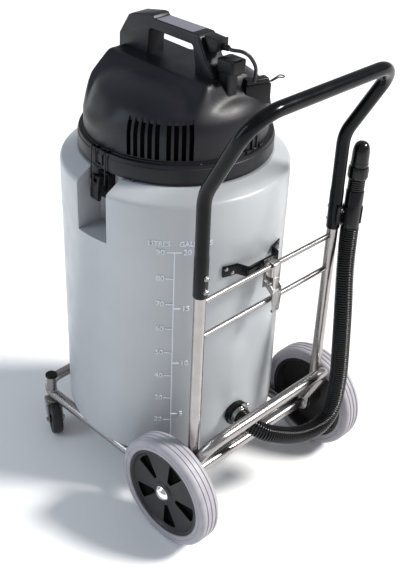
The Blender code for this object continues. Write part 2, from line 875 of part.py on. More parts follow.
# ---- head ----
def head_ring():
    low, high = RING_Z
    profile = [
        (0.1945, high),
        (RING_R, high - 0.0035),
        (RING_R, low + 0.0030),
        (0.1960, low),
        (0.1568, low),
        (0.1568, 0.7420),
        (0.1530, 0.7420),
        (0.1530, 0.7755),
        (0.1760, 0.7755),
        (0.1760, high),
    ]
    lathe("head_ring", profile, True, BLACK_PLASTIC, 48)
    seal = [(0.1930, SEAL_Z[1]), (0.1930, SEAL_Z[0]), (0.1640, SEAL_Z[0]), (0.1640, SEAL_Z[1])]
    lathe("rim_seal", seal, True, BLACK_RUBBER, 48)


def dome_profile(grow):
    """Outer side of the cover, from the middle of its top down to its rim."""
    points = [
        (0.0, 0.9300),
        (0.0900, 0.9240),
        (0.1300, 0.9150),
        (0.1540, 0.9040),
        (0.1700, 0.8920),
        (0.1800, 0.8780),
        (COVER_R, 0.8640),
    ]
    return [(max(radius + grow, 0.0) if radius > 0 else 0.0, height + grow) for radius, height in points]


def lobe_block(name, grow):
    half, front, back, top = LOBE
    low = (-half - grow, front - grow, 0.870)
    high = (half + grow, back + grow, top + grow)
    made = box(name, low, high, None, 0.022 + grow, CUTTERS)
    made.modifiers["edges"].segments = 3
    return hide_cutter(made)


def head_cover():
    outer = dome_profile(0.0) + [(COVER_R, COVER_BOTTOM), (0.0, COVER_BOTTOM)]
    made = lathe("head_cover", outer, False, BLACK_PLASTIC, 48)
    cut(made, lobe_block("lobe_outer", 0.0), "UNION")
    inner = dome_profile(-COVER_WALL)
    inner += [(COVER_R - COVER_WALL, COVER_BOTTOM - 0.01), (0.0, COVER_BOTTOM - 0.01)]
    hollow = lathe("cover_hollow", inner, False, None, 48, group=CUTTERS)
    cut(hollow, lobe_block("lobe_inner", -COVER_WALL), "UNION")
    cut(made, hollow)
    cut(made, louvre_slots())


def louvre_slots():
    """Upright slots through the cover's wall: a group of five and one of four on each side."""
    angles = []
    for side in (1, -1):
        angles += [side * (math.radians(55.1) + SLOT_PITCH * index) for index in range(5)]
        angles += [side * (math.radians(35.4) + SLOT_PITCH * index) for index in range(4)]
    low, high = SLOT_Z

    def builder(data):
        for angle in angles:
            centre = radial(angle, COVER_R, (low + high) / 2)
            spin = Matrix.Translation(centre) @ Matrix.Rotation(-angle, 4, "Z")
            size = Matrix.Diagonal((SLOT_WIDTH, 0.020, high - low, 1.0))
            bmesh.ops.create_cube(data, size=1.0, matrix=spin @ size)

    return place("louvre_slots", mesh_from("louvre_slots", builder), None, CUTTERS)


def trim_to_cover(made):
    """Shapes the underside of a piece that sits on the cover."""
    skin = bpy.data.objects.get("cover_skin")
    lobe = bpy.data.objects.get("lobe_skin")
    if skin is None:
        profile = dome_profile(GAP) + [(COVER_R + GAP, 0.80), (0.0, 0.80)]
        skin = lathe("cover_skin", profile, False, None, 48, group=CUTTERS)
        lobe = lobe_block("lobe_skin", GAP)
    cut(made, skin)
    cut(made, lobe)
    return made


def top_handle():
    """Moulded carrying handle: a long front post, the grip bar and a rear post."""
    outline = [
        (-0.1500, 0.8900),
        (-0.1480, 0.9580),
        (-0.1440, 0.9640),
        (-0.1200, 1.0010),
        (-0.1100, 1.0060),
        (-0.0600, 1.0160),
        (-0.0500, 1.0155),
        (-0.0460, 1.0095),
        (0.0720, 1.0110),
        (0.0780, 1.0070),
        (0.0980, 0.9700),
        (0.1100, 0.9560),
        (0.1180, 0.9400),
        (0.1180, 0.9000),
        (0.0680, 0.9000),
        (0.0680, 0.9500),
        (0.0600, 0.9850),
        (0.0560, 0.9888),
        (-0.0540, 0.9888),
        (-0.0600, 0.9840),
        (-0.0630, 0.9500),
        (-0.0630, 0.9000),
    ]
    made = as_mesh(outline_solid("top_handle", [outline], GRIP_HALF, BLACK_PLASTIC, turn=IN_YZ))
    rounding = made.modifiers.new("edges", "BEVEL")
    rounding.width = 0.003
    rounding.segments = 2
    rounding.limit_method = "ANGLE"
    trim_to_cover(made)


def mains_inlet():
    """Boxed inlet behind the grip, and the lead that runs from it to the anchor."""
    outline = [(0.0810, 1.0110), (0.1150, 1.0095), (0.1150, 0.9890), (0.1060, 0.9830), (0.0950, 0.9830)]
    block = as_mesh(outline_solid("mains_inlet", [outline], 0.0150, BLACK_PLASTIC, turn=IN_YZ))
    gland = rod("lead_gland", (-0.0040, 0.1100, 0.9960), (-0.0040, 0.1300, 0.9945), 0.0065, None, 16, CUTTERS)
    cut(block, gland, "UNION")
    route = [
        (-0.0040, 0.1320, 0.9943),
        (-0.0043, 0.1370, 0.9940),
        (-0.0120, 0.1560, 0.9940),
        (-0.0220, 0.1660, 0.9850),
        (-0.0340, 0.1700, 0.9640),
        (-0.0410, 0.1650, 0.9440),
        (-0.0410, 0.1628, 0.9327),
    ]
    tube("flex_lead", smooth_route(route, 0.009), 0.0035, BLACK_RUBBER, 2)


def switch_block():
    """Boss on a stem behind the grip's rear post, with the rocker let into its top."""
    low = (-0.020, 0.1200, 0.9570)
    high = (0.020, 0.1620, 0.9800)
    made = box("switch_block", low, high, BLACK_PLASTIC, 0.002)
    stem = box("switch_stem", (-0.013, 0.1190, 0.9000), (0.013, 0.1480, 0.9600), None, group=CUTTERS)
    cut(made, stem, "UNION")
    x, y, z = ROCKER_AT
    pocket = box("switch_pocket", (-0.0090, y - 0.0098, z - 0.0105), (0.0090, y + 0.0098, 0.99), None, group=CUTTERS)
    cut(made, pocket)
    trim_to_cover(made)
    outline = [(-0.0080, 0.0010), (-0.0080, 0.0040), (0.0, 0.0030), (0.0080, 0.0040), (0.0080, 0.0010), (0.0, -0.0045)]
    lean = Matrix.Rotation(math.radians(7.0), 3, "X")
    turn = lean @ Matrix.Rotation(math.pi / 2, 3, "Z") @ Matrix.Rotation(math.pi / 2, 3, "X")
    turn = turn.to_euler()
    outline_solid("switch_rocker", [outline], 0.0080, BLACK_RUBBER, origin=ROCKER_AT, turn=turn)


def cable_anchor():
    """Block on the cover's rear shoulder that grips the lead, with a wire loop to hang it by."""
    made = box("cable_anchor", (-0.028, -0.011, 0.880), (0.026, 0.011, 0.9315), BLACK_PLASTIC, 0.002)
    made.data.transform(Matrix.Translation(made.location))
    made.location = (*ANCHOR_XY, 0.0)
    made.rotation_euler = (0, 0, math.radians(ANCHOR_TURN))
    trim_to_cover(made)
    turn = math.radians(ANCHOR_TURN)
    out = Vector((-math.cos(turn), -math.sin(turn), 0.0))
    side = Vector((out.y, -out.x, 0.0))
    root = Vector((*ANCHOR_XY, 0.9225)) + out * (0.028 + GAP)
    loop = []
    for index in range(13):
        angle = math.pi * (index / 12 - 0.5) * 1.72
        swing = side * math.sin(angle) * 0.0065
        loop.append(root + out * (0.026 + 0.0065 * math.cos(angle)) + swing + Vector((0, 0, 0.006)))
    start = root - side * 0.0018
    end = root + side * 0.0018
    lead_in = [start, start + out * 0.006]
    lead_out = [end + out * 0.006, end]
    tube("cable_loop", smooth_route([*lead_in, *loop, *lead_out], 0.0045), 0.0012, BLACK_RUBBER, 2)


# ---- inside the head and the drum ----
def suction_unit():
    plate = [(0.1752, 0.7818), (0.1752, 0.7758), (0.0260, 0.7758), (0.0260, 0.7818)]
    lathe("motor_plate", plate, True, BLACK_PLASTIC, 40)
    can = [
        (0.0620, 0.9050),
        (0.0700, 0.8970),
        (0.0700, 0.7821),
        (0.0660, 0.7821),
        (0.0660, 0.8950),
        (0.0600, 0.9000),
        (0.0120, 0.9000),
        (0.0120, 0.9050),
    ]
    lathe("motor_can", can, True, ZINC, 24)
    rotor = [
        (0.0, 0.9150),
        (0.0060, 0.9150),
        (0.0060, 0.8850),
        (0.0300, 0.8850),
        (0.0300, 0.8350),
        (0.0060, 0.8350),
        (0.0060, 0.8120),
        (0.0600, 0.8120),
        (0.0600, 0.7960),
        (0.0060, 0.7960),
        (0.0060, 0.7900),
        (0.0, 0.7900),
    ]
    lathe("motor_rotor", rotor, False, ZINC, 20)


def float_valve():
    cage = [
        (0.0440, 0.7755),
        (0.0440, 0.6880),
        (0.0120, 0.6880),
        (0.0120, 0.6905),
        (0.0415, 0.6905),
        (0.0415, 0.7755),
    ]
    made = lathe("float_cage", cage, True, BLACK_PLASTIC, 24)
    for index, low in enumerate(((-0.012, -0.06), (-0.06, -0.012))):
        high = (-low[0], -low[1])
        window = box(
            "cage_window_%d" % index, (*low, 0.7000), (*high, 0.7650), None, group=CUTTERS
        )
        cut(made, window)

    def builder(data):
        bmesh.ops.create_uvsphere(data, u_segments=20, v_segments=12, radius=0.034)

    ball = place("float_ball", mesh_from("float_ball", builder), BLACK_PLASTIC)
    ball.location = (0, 0, 0.7252)


def filter_bag():
    profile = [
        (0.0, 0.4530),
        (0.0940, 0.4530),
        (0.1025, 0.4615),
        (0.1470, 0.7365),
        (0.1480, 0.7417),
        (0.1565, 0.7417),
        (0.1565, 0.7380),
        (0.1500, 0.7350),
        (0.1050, 0.4600),
        (0.0950, 0.4500),
        (0.0, 0.4500),
    ]
    lathe("filter_bag", profile, False, CLOTH, 32)


# ---- drain hose ----
def drain_hose():
    tube("drain_hose", smooth_route(HOSE_ROUTE, 0.022), HOSE_R, BLACK_RUBBER, 3)
    foot = Vector(CUFF_FOOT)
    axis = (Vector(CUFF_TOP) - foot).normalized()
    turn = axis.to_track_quat("Z", "Y").to_euler()
    cuff = [
        (0.0, 0.0950),
        (0.0125, 0.0950),
        (0.0125, 0.1320),
        (0.0195, 0.1320),
        (0.0205, 0.1300),
        (0.0205, 0.1080),
        (0.0170, 0.1040),
        (0.0165, 0.0840),
        (CUFF_R, 0.0800),
        (CUFF_R, 0.0),
        (0.0, 0.0),
    ]
    lathe("hose_cuff", cuff, False, BLACK_PLASTIC, 24, foot, turn)
    cap = [
        (0.0, 0.1848),
        (0.0070, 0.1834),
        (0.0125, 0.1795),
        (0.0160, 0.1735),
        (0.0175, 0.1660),
        (0.0185, 0.1323),
        (0.0120, 0.1323),
        (0.0120, 0.1050),
        (0.0, 0.1050),
    ]
    lathe("hose_cap", cap, False, BLACK_PLASTIC, 24, foot, turn)


def build():
    base_loop()
    axle()
    rear_bar()
    cross_rods()
    push_handle()
    hose_clip()
    for side in (1, -1):
        axle_plate(side)
        upright(side)
        caster_socket(side)
        wheel(side)
        caster(side)
        side_clip(side)
    drum()
    drain_outlet()
    inlet_port()
    drum_bracket()
    toggle()
    head_ring()
    head_cover()
    top_handle()
    mains_inlet()
    switch_block()
    cable_anchor()
    suction_unit()
    float_valve()
    filter_bag()
    drain_hose()


build()
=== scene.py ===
"""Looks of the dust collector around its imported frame: materials, fine shapes, floor, lights and camera."""

import math

import bmesh
import bpy
import numpy as np
from mathutils import Matrix, Vector


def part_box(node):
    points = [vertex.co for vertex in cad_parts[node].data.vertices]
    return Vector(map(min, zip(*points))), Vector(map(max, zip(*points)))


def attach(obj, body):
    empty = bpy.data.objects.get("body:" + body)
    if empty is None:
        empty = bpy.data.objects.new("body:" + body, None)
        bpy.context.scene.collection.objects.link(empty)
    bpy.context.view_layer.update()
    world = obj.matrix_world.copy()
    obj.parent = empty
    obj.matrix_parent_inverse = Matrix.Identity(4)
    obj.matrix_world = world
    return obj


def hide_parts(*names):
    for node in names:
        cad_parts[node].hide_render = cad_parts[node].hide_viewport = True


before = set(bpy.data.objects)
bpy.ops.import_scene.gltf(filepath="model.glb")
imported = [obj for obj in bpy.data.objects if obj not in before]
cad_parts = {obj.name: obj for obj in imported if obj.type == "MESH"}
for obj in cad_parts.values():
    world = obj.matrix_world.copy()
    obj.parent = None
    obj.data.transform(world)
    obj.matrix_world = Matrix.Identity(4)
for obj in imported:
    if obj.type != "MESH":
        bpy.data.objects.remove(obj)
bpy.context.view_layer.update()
DRUM_LOW, DRUM_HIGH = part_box("drum")
DRUM_Y = (DRUM_LOW.y + DRUM_HIGH.y) / 2
SHIFT = Vector((0.0, DRUM_Y, 0.0))
IN_YZ = Matrix(((0, 0, 1), (1, 0, 0), (0, 1, 0))).to_4x4()
IN_XZ = Matrix(((1, 0, 0), (0, 0, -1), (0, 1, 0))).to_4x4()


# ---- node materials ----
class Nodes:
    """Short calls for building a shader's node tree."""

    def __init__(self, name, colour, roughness, metallic=0.0):
        self.material = bpy.data.materials.new(name)
        self.material.use_nodes = True
        self.tree = self.material.node_tree
        self.shader = self.tree.nodes["Principled BSDF"]
        self.colour = colour
        self.put("Base Color", (*colour, 1.0))
        self.put("Roughness", roughness)
        self.put("Metallic", metallic)
        self.where = self.tree.nodes.new("ShaderNodeTexCoord").outputs["Object"]
        self.normal = None

    def put(self, socket, value):
        self.shader.inputs[socket].default_value = value

    def link(self, output, node_input):
        self.tree.links.new(output, node_input)

    def noise(self, scale, detail=3.0, stretch=None):
        where = self.where
        if stretch is not None:
            mapping = self.tree.nodes.new("ShaderNodeMapping")
            mapping.inputs["Scale"].default_value = stretch
            self.link(where, mapping.inputs["Vector"])
            where = mapping.outputs["Vector"]
        noise = self.tree.nodes.new("ShaderNodeTexNoise")
        noise.inputs["Scale"].default_value = scale
        noise.inputs["Detail"].default_value = detail
        self.link(where, noise.inputs["Vector"])
        return noise.outputs["Fac"]

    def ramp(self, factor, stops):
        ramp = self.tree.nodes.new("ShaderNodeValToRGB")
        elements = ramp.color_ramp.elements
        for index, (at, colour) in enumerate(stops):
            element = elements[index] if index < 2 else elements.new(at)
            element.position = at
            element.color = (*colour, 1.0)
        self.link(factor, ramp.inputs["Fac"])
        return ramp.outputs["Color"]

    def spread(self, factor, low, high):
        remap = self.tree.nodes.new("ShaderNodeMapRange")
        remap.inputs["From Min"].default_value = 0.3
        remap.inputs["From Max"].default_value = 0.7
        remap.inputs["To Min"].default_value = low
        remap.inputs["To Max"].default_value = high
        self.link(factor, remap.inputs["Value"])
        return remap.outputs["Result"]

    def vary_colour(self, factor, share):
        dark = tuple(c * (1.0 - share) for c in self.colour)
        light = tuple(min(1.0, c * (1.0 + share)) for c in self.colour)
        self.link(self.ramp(factor, [(0.3, dark), (0.7, light)]), self.shader.inputs["Base Color"])

    def vary_roughness(self, factor, low, high):
        self.link(self.spread(factor, low, high), self.shader.inputs["Roughness"])

    def bump(self, factor, depth, strength=1.0):
        bump = self.tree.nodes.new("ShaderNodeBump")
        bump.inputs["Strength"].default_value = strength
        bump.inputs["Distance"].default_value = depth
        self.link(factor, bump.inputs["Height"])
        if self.normal is not None:
            self.link(self.normal, bump.inputs["Normal"])
        self.normal = bump.outputs["Normal"]
        self.link(self.normal, self.shader.inputs["Normal"])


def moulded(name, colour, rough, grain, depth, share=0.06):
    """Moulded plastic: fine grain, faint clouding and slightly uneven gloss."""
    made = Nodes(name, colour, rough)
    made.vary_colour(made.noise(9.0, 4.0), share)
    made.vary_roughness(made.noise(23.0, 3.0), rough - 0.06, rough + 0.08)
    made.bump(made.noise(14.0, 2.0), 0.0006, 0.35)
    made.bump(made.noise(grain, 2.0), depth, 0.5)
    return made


def drum_plastic():
    made = moulded("drum_plastic", (0.368, 0.386, 0.408), 0.34, 1500.0, 0.00006, 0.03)
    made.put("Subsurface Weight", 0.06)
    made.put("Subsurface Radius", (0.004, 0.004, 0.005))
    return made.material


def black_plastic():
    made = moulded("head_plastic", (0.0048, 0.0048, 0.0085), 0.4, 950.0, 0.0003, 0.25)
    made.put("Specular IOR Level", 0.3)
    return made.material


def satin_black():
    made = moulded("satin_black", (0.005, 0.005, 0.0062), 0.34, 2300.0, 0.00006, 0.25)
    made.put("Specular IOR Level", 0.2)
    return made.material


def steel(name, colour, rough, stretch):
    """Drawn tube: fine lines along it, clouded polish and a few dull marks."""
    made = Nodes(name, colour, rough, 1.0)
    made.vary_colour(made.noise(30.0, 4.0), 0.07)
    made.vary_roughness(made.noise(70.0, 5.0, stretch), rough - 0.07, rough + 0.12)
    made.bump(made.noise(420.0, 2.0, stretch), 0.00005, 0.5)
    return made.material


def gloss_black():
    made = Nodes("handle_coat", (0.003, 0.0032, 0.004), 0.17)
    made.vary_roughness(made.noise(40.0, 4.0), 0.13, 0.24)
    made.bump(made.noise(240.0, 2.0), 0.00008, 0.5)
    made.vary_colour(made.noise(60.0, 3.0), 0.3)
    made.put("Specular IOR Level", 0.15)
    return made.material


def hose_plastic():
    """Glossy black plastic of the corrugated hose."""
    made = Nodes("hose_plastic", (0.004, 0.004, 0.0046), 0.2)
    made.vary_colour(made.noise(50.0, 3.0), 0.3)
    made.vary_roughness(made.noise(90.0, 3.0), 0.16, 0.26)
    made.bump(made.noise(260.0, 2.0), 0.00005, 0.5)
    made.put("Specular IOR Level", 0.36)
    return made.material


def hub_plastic():
    """Dark grey moulded plastic of the wheels' webs."""
    made = moulded("hub_plastic", (0.017, 0.0165, 0.018), 0.42, 2100.0, 0.00008, 0.2)
    made.put("Specular IOR Level", 0.38)
    return made.material


def pit_black():
    """Painted shade: dull near-black put on places that little light reaches, standing in for their shadow."""
    made = Nodes("pit_black", (0.0016, 0.0016, 0.0018), 0.85)
    made.vary_colour(made.noise(60.0, 3.0), 0.3)
    made.bump(made.noise(700.0, 2.0), 0.0001, 0.4)
    made.put("Specular IOR Level", 0.08)
    return made.material


def scale_plastic():
    """Raised figures, coloured lighter than the wall that they stand on as a painted highlight on their raised
    faces.
    """
    return moulded("scale_plastic", (0.56, 0.6, 0.66), 0.3, 1500.0, 0.00003, 0.03).material


def rubber(name, colour, rough):
    made = Nodes(name, colour, rough)
    made.vary_colour(made.noise(38.0, 6.0), 0.09)
    made.vary_roughness(made.noise(55.0, 4.0), rough - 0.1, rough + 0.1)
    made.bump(made.noise(1300.0, 3.0), 0.00012, 0.6)
    return made.material


def zinc(name, colour, rough):
    """Plated sheet: mottled grains and rubbed patches."""
    made = Nodes(name, colour, rough, 1.0)
    made.vary_colour(made.noise(160.0, 5.0), 0.12)
    made.vary_roughness(made.noise(90.0, 4.0), rough - 0.08, rough + 0.14)
    made.bump(made.noise(700.0, 3.0), 0.00006, 0.5)
    return made.material


def chrome():
    made = Nodes("chrome", (0.86, 0.86, 0.88), 0.07, 1.0)
    made.vary_roughness(made.noise(80.0, 4.0), 0.05, 0.16)
    made.bump(made.noise(60.0, 2.0), 0.00005, 0.4)
    return made.material


def cloth():
    made = Nodes("filter_cloth", (0.62, 0.6, 0.55), 0.9)
    made.vary_colour(made.noise(300.0, 5.0), 0.12)
    made.bump(made.noise(800.0, 4.0), 0.0004, 0.8)
    made.put("Sheen Weight", 0.3)
    return made.material


def label_card():
    made = Nodes("plain_label", (0.155, 0.155, 0.19), 0.42)
    made.vary_colour(made.noise(120.0, 4.0), 0.05)
    made.bump(made.noise(900.0, 2.0), 0.00003, 0.5)
    return made.material


def floor_paint():
    made = Nodes("floor_paint", (0.86, 0.865, 0.875), 0.55)
    made.vary_roughness(made.noise(3.0, 3.0), 0.45, 0.6)
    made.vary_colour(made.noise(1.3, 2.0), 0.01)
    return made.material


LOOKS = {
    "grey_plastic": drum_plastic(),
    "black_plastic": black_plastic(),
    "satin_black": satin_black(),
    "black_paint": gloss_black(),
    "steel_z": steel("steel_upright", (0.375, 0.352, 0.346), 0.25, (6.0, 6.0, 0.3)),
    "steel_x": steel("steel_across", (0.335, 0.318, 0.314), 0.23, (0.3, 6.0, 6.0)),
    "zinc_plate": zinc("zinc_plate", (0.29, 0.285, 0.285), 0.3),
    "chrome": chrome(),
    "grey_rubber": rubber("grey_tyre", (0.31, 0.3, 0.335), 0.55),
    "black_tyre": rubber("black_tyre", (0.01, 0.01, 0.011), 0.5),
    "dark_wire": zinc("dark_wire", (0.035, 0.035, 0.038), 0.3),
    "black_rubber": rubber("black_rubber", (0.006, 0.006, 0.0068), 0.42),
    "filter_cloth": cloth(),
    "label": label_card(),
    "hose_plastic": hose_plastic(),
    "hub_plastic": hub_plastic(),
    "scale_plastic": scale_plastic(),
    "pit_black": pit_black(),
}


# ---- shapes ----
def rounded(points, radii, steps=5):
    """An open line of points with arcs of the given radii at its inner corners; 0 leaves a corner sharp."""
    points = [Vector(point) for point in points]
    line = [points[0]]
    for before, corner, after, radius in zip(points, points[1:], points[2:], radii):
        inward = (before - corner).normalized()
        onward = (after - corner).normalized()
        between = inward.angle(onward)
        if radius <= 0.0 or between > math.pi - 0.001:
            line.append(corner)
            continue
        reach = radius / math.tan(between / 2)
        centre = corner + (inward + onward).normalized() * (radius / math.sin(between / 2))
        start = corner + inward * reach - centre
        end = corner + onward * reach - centre
        sweep = start.angle(end)
        for step in range(steps + 1):
            part = step / steps
            arm = start * math.sin((1 - part) * sweep) + end * math.sin(part * sweep)
            line.append(centre + arm / math.sin(sweep))
    line.append(points[-1])
    return line


def softened(points, radius, steps=3):
    """A closed outline with every corner rounded by the same radius."""
    count = len(points)
    ring = []
    for index in range(count):
        trio = [points[index - 1], points[index], points[(index + 1) % count]]
        ring += [tuple(p) for p in rounded(trio, [radius], steps)[1:-1]]
    return ring


def smooth_route(points, spacing):
    """A smooth curve through the points, read at even steps of about the spacing."""
    points = [Vector(point) for point in points]
    dense = []
    for index in range(len(points) - 1):
        before = points[max(index - 1, 0)]
        start = points[index]
        end = points[index + 1]
        after = points[min(index + 2, len(points) - 1)]
        for step in range(12):
            t = step / 12
            curve = 2 * start + (end - before) * t
            curve += (2 * before - 5 * start + 4 * end - after) * t**2
            curve += (3 * start - before - 3 * end + after) * t**3
            dense.append(0.5 * curve)
    dense.append(points[-1])
    travelled = [0.0]
    for one, two in zip(dense, dense[1:]):
        travelled.append(travelled[-1] + (two - one).length)
    count = max(2, round(travelled[-1] / spacing))
    route = []
    at = 0
    for step in range(count + 1):
        wanted = travelled[-1] * step / count
        while at < len(dense) - 2 and travelled[at + 1] < wanted:
            at += 1
        span = travelled[at + 1] - travelled[at]
        route.append(dense[at].lerp(dense[at + 1], (wanted - travelled[at]) / span))
    return route


def arc(centre, radius, start, end, steps):
    points = []
    for step in range(steps + 1):
        angle = math.radians(start + (end - start) * step / steps)
        points.append((centre[0] + radius * math.cos(angle), centre[1] + radius * math.sin(angle)))
    return points


def lathe_mesh(profile, closed=False, steps=96, place=None):
    """Turned body of (radius, height) points about Z, at a place; a radius of 0 closes to the axis."""
    mesh = bmesh.new()
    rings = []
    for radius, height in profile:
        if radius < 0.00001:
            rings.append([mesh.verts.new((0.0, 0.0, height))])
            continue
        ring = []
        for step in range(steps):
            angle = 2 * math.pi * step / steps
            ring.append(mesh.verts.new((radius * math.cos(angle), radius * math.sin(angle), height)))
        rings.append(ring)
    pairs = list(zip(rings, rings[1:]))
    if closed:
        pairs.append((rings[-1], rings[0]))
    for one, two in pairs:
        if len(one) == 1 and len(two) == 1:
            continue
        for step in range(steps):
            after = (step + 1) % steps
            face = [one[step % len(one)], one[after % len(one)], two[after % len(two)],
                two[step % len(two)]]
            mesh.faces.new(list(dict.fromkeys(face)))
    return settle(mesh, place)


def sweep_mesh(points, radius, sides=20, caps=True):
    """Round tube along points; radius is one number or one for each point."""
    points = [Vector(point) for point in points]
    radii = radius if isinstance(radius, list) else [radius] * len(points)
    mesh = bmesh.new()
    rings = []
    across = None
    for index, point in enumerate(points):
        ahead = points[min(index + 1, len(points) - 1)] - point
        behind = point - points[max(index - 1, 0)]
        along = (ahead.normalized() + behind.normalized()).normalized()
        if across is None:
            across = along.orthogonal().normalized()
        across = (across - along * across.dot(along)).normalized()
        other = along.cross(across)
        ring = []
        for step in range(sides):
            angle = 2 * math.pi * step / sides
            offset = across * math.cos(angle) + other * math.sin(angle)
            ring.append(mesh.verts.new(point + offset * radii[index]))
        rings.append(ring)
    for one, two in zip(rings, rings[1:]):
        for step in range(sides):
            after = (step + 1) % sides
            mesh.faces.new((one[step], one[after], two[after], two[step]))
    if caps:
        mesh.faces.new(rings[0][::-1])
        mesh.faces.new(rings[-1])
    return settle(mesh)


def prism_mesh(outline, half, place=None, middle=0.0):
    """Flat outline made solid between middle - half and middle + half of its own third axis."""
    mesh = bmesh.new()
    low = [mesh.verts.new((a, b, middle - half)) for a, b in outline]
    high = [mesh.verts.new((a, b, middle + half)) for a, b in outline]
    mesh.faces.new(low[::-1])
    mesh.faces.new(high)
    for one in range(len(outline)):
        two = (one + 1) % len(outline)
        mesh.faces.new((low[one], low[two], high[two], high[one]))
    return settle(mesh, place)


def box_mesh(low, high, place=None):
    mesh = bmesh.new()
    size = Vector(high) - Vector(low)
    centre = (Vector(high) + Vector(low)) / 2
    bmesh.ops.create_cube(mesh, size=1.0, matrix=Matrix.Translation(centre) @ Matrix.Diagonal((*size,
        1.0)))
    return settle(mesh, place)


def settle(mesh, place=None):
    """Turns a bmesh into a mesh with faces outwards, at its place in the drum's frame."""
    if place is not None:
        bmesh.ops.transform(mesh, matrix=place, verts=mesh.verts)
    bmesh.ops.recalc_face_normals(mesh, faces=mesh.faces)
    made = bpy.data.meshes.new("shape")
    mesh.to_mesh(made)
    mesh.free()
    return made


def joined(meshes):
    whole = bmesh.new()
    for mesh in meshes:
        whole.from_mesh(mesh)
    made = bpy.data.meshes.new("shape")
    whole.to_mesh(made)
    whole.free()
    return made


def scratch(mesh, modifiers):
    """Runs modifiers on a mesh and returns the mesh they give."""
    holder = bpy.data.objects.new("scratch", mesh)
    for kind, settings in modifiers:
        step = holder.modifiers.new(kind, kind)
        for key, value in settings.items():
            setattr(step, key, value)
    return scratch_object(holder)


def scratch_object(holder):
    """The mesh that an object gives, its modifiers or its letters worked out; the object is removed."""
    bpy.context.scene.collection.objects.link(holder)
    bpy.context.view_layer.update()
    graph = bpy.context.evaluated_depsgraph_get()
    result = bpy.data.meshes.new_from_object(holder.evaluated_get(graph))
    bpy.data.objects.remove(holder)
    return result


def bevelled(mesh, width, segments=2, angle=35.0):
    settings = {
        "width": width,
        "segments": segments,
        "limit_method": "ANGLE",
        "angle_limit": math.radians(angle),
        "use_clamp_overlap": True,
    }
    return scratch(mesh, [("BEVEL", settings)])


def combined(mesh, other, operation="DIFFERENCE"):
    tool = bpy.data.objects.new("tool", other)
    bpy.context.scene.collection.objects.link(tool)
    settings = {"operation": operation, "object": tool, "solver": "EXACT"}
    result = scratch(mesh, [("BOOLEAN", settings)])
    bpy.data.objects.remove(tool)
    return result


def piece(name, mesh, look, body="trolley", replaces=(), smooth=32.0):
    """One visible piece: drawn about the drum's axis, then carried to the frame and tied to its body."""
    mesh.transform(Matrix.Translation(SHIFT))
    mesh.shade_smooth()
    mesh.set_sharp_from_angle(angle=math.radians(smooth))
    mesh.materials.clear()
    mesh.materials.append(LOOKS[look])
    mesh.name = name
    made = bpy.data.objects.new(name, mesh)
    bpy.context.scene.collection.objects.link(made)
    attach(made, body)
    if replaces:
        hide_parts(*replaces)
    return made


def radial(angle, distance, z):
    return Vector((distance * math.sin(angle), distance * math.cos(angle), z))


def side_name(base, side):
    return base + ("_right" if side > 0 else "_left")


def screw_mesh(at, axis, radius, tall, sides=6):
    """Small fastener: a washer and a headed body, standing on a surface at a point."""
    turn = Matrix.Translation(at) @ Vector(axis).to_track_quat("Z", "Y").to_matrix().to_4x4()
    washer = [(radius * 1.35, 0.0), (radius * 1.35, tall * 0.22), (0.0, tall * 0.22)]
    head = [(radius, tall * 0.2), (radius, tall * 0.85), (radius * 0.82, tall), (0.0, tall)]
    return joined([lathe_mesh([(0, 0), *washer], False, 20, turn),
        lathe_mesh([(0, 0), *head], False, sides, turn)])


# ---- camera, lights and floor ----
def camera():
    data = bpy.data.cameras.new("camera")
    data.sensor_width = 36.0
    data.lens = 62.07
    data.clip_end = 50.0
    made = bpy.data.objects.new("camera", data)
    bpy.context.scene.collection.objects.link(made)
    right = Vector((-0.7086, 0.7048, 0.0352))
    look = Vector((-0.6023, -0.578, -0.5506))
    right = (right - look * right.dot(look)).normalized()
    up = right.cross(look).normalized()
    turn = Matrix((right, up, -look.normalized())).transposed().to_4x4()
    made.matrix_world = Matrix.Translation(Vector((1.2898, 1.3223, 1.6285)) + SHIFT) @ turn
    bpy.context.scene.camera = made


def softbox(name, at, aim, size, power, colour):
    data = bpy.data.lights.new(name, "AREA")
    data.shape = "RECTANGLE"
    data.size, data.size_y = size
    data.energy = power
    data.color = colour
    made = bpy.data.objects.new(name, data)
    bpy.context.scene.collection.objects.link(made)
    made.location = at
    made.rotation_euler = (Vector(aim) - Vector(at)).to_track_quat("-Z", "Y").to_euler()


def key_light():
    """Broad distant key from the rear left, high enough to throw the rods' shadows down the drum."""
    data = bpy.data.lights.new("key_light", "SUN")
    data.energy = 5.4
    data.angle = 0.24
    data.color = (1.0, 0.985, 0.94)
    key = bpy.data.objects.new("key_light", data)
    bpy.context.scene.collection.objects.link(key)
    key.rotation_euler = Vector((2.05, -2.25, -2.85)).to_track_quat("-Z", "Y").to_euler()


def studio():
    middle = (0.0, 0.0, 0.5)
    key_light()
    softbox("side_light", (2.6, -1.5, 1.9), middle, (1.4, 2.0), 36.0, (0.72, 0.86, 1.0))
    world = bpy.data.worlds.new("studio")
    bpy.context.scene.world = world
    world.use_nodes = True
    world.node_tree.nodes["Background"].inputs["Color"].default_value = (0.93, 0.95, 1.0, 1.0)
    world.node_tree.nodes["Background"].inputs["Strength"].default_value = 0.41
    bpy.context.scene.view_settings.view_transform = "Standard"


def floor():
    made = bpy.data.objects.new("floor", box_mesh((-60.0, -60.0, -0.02), (60.0, 60.0, 0.0)))
    made.data.materials.append(floor_paint())
    bpy.context.scene.collection.objects.link(made)


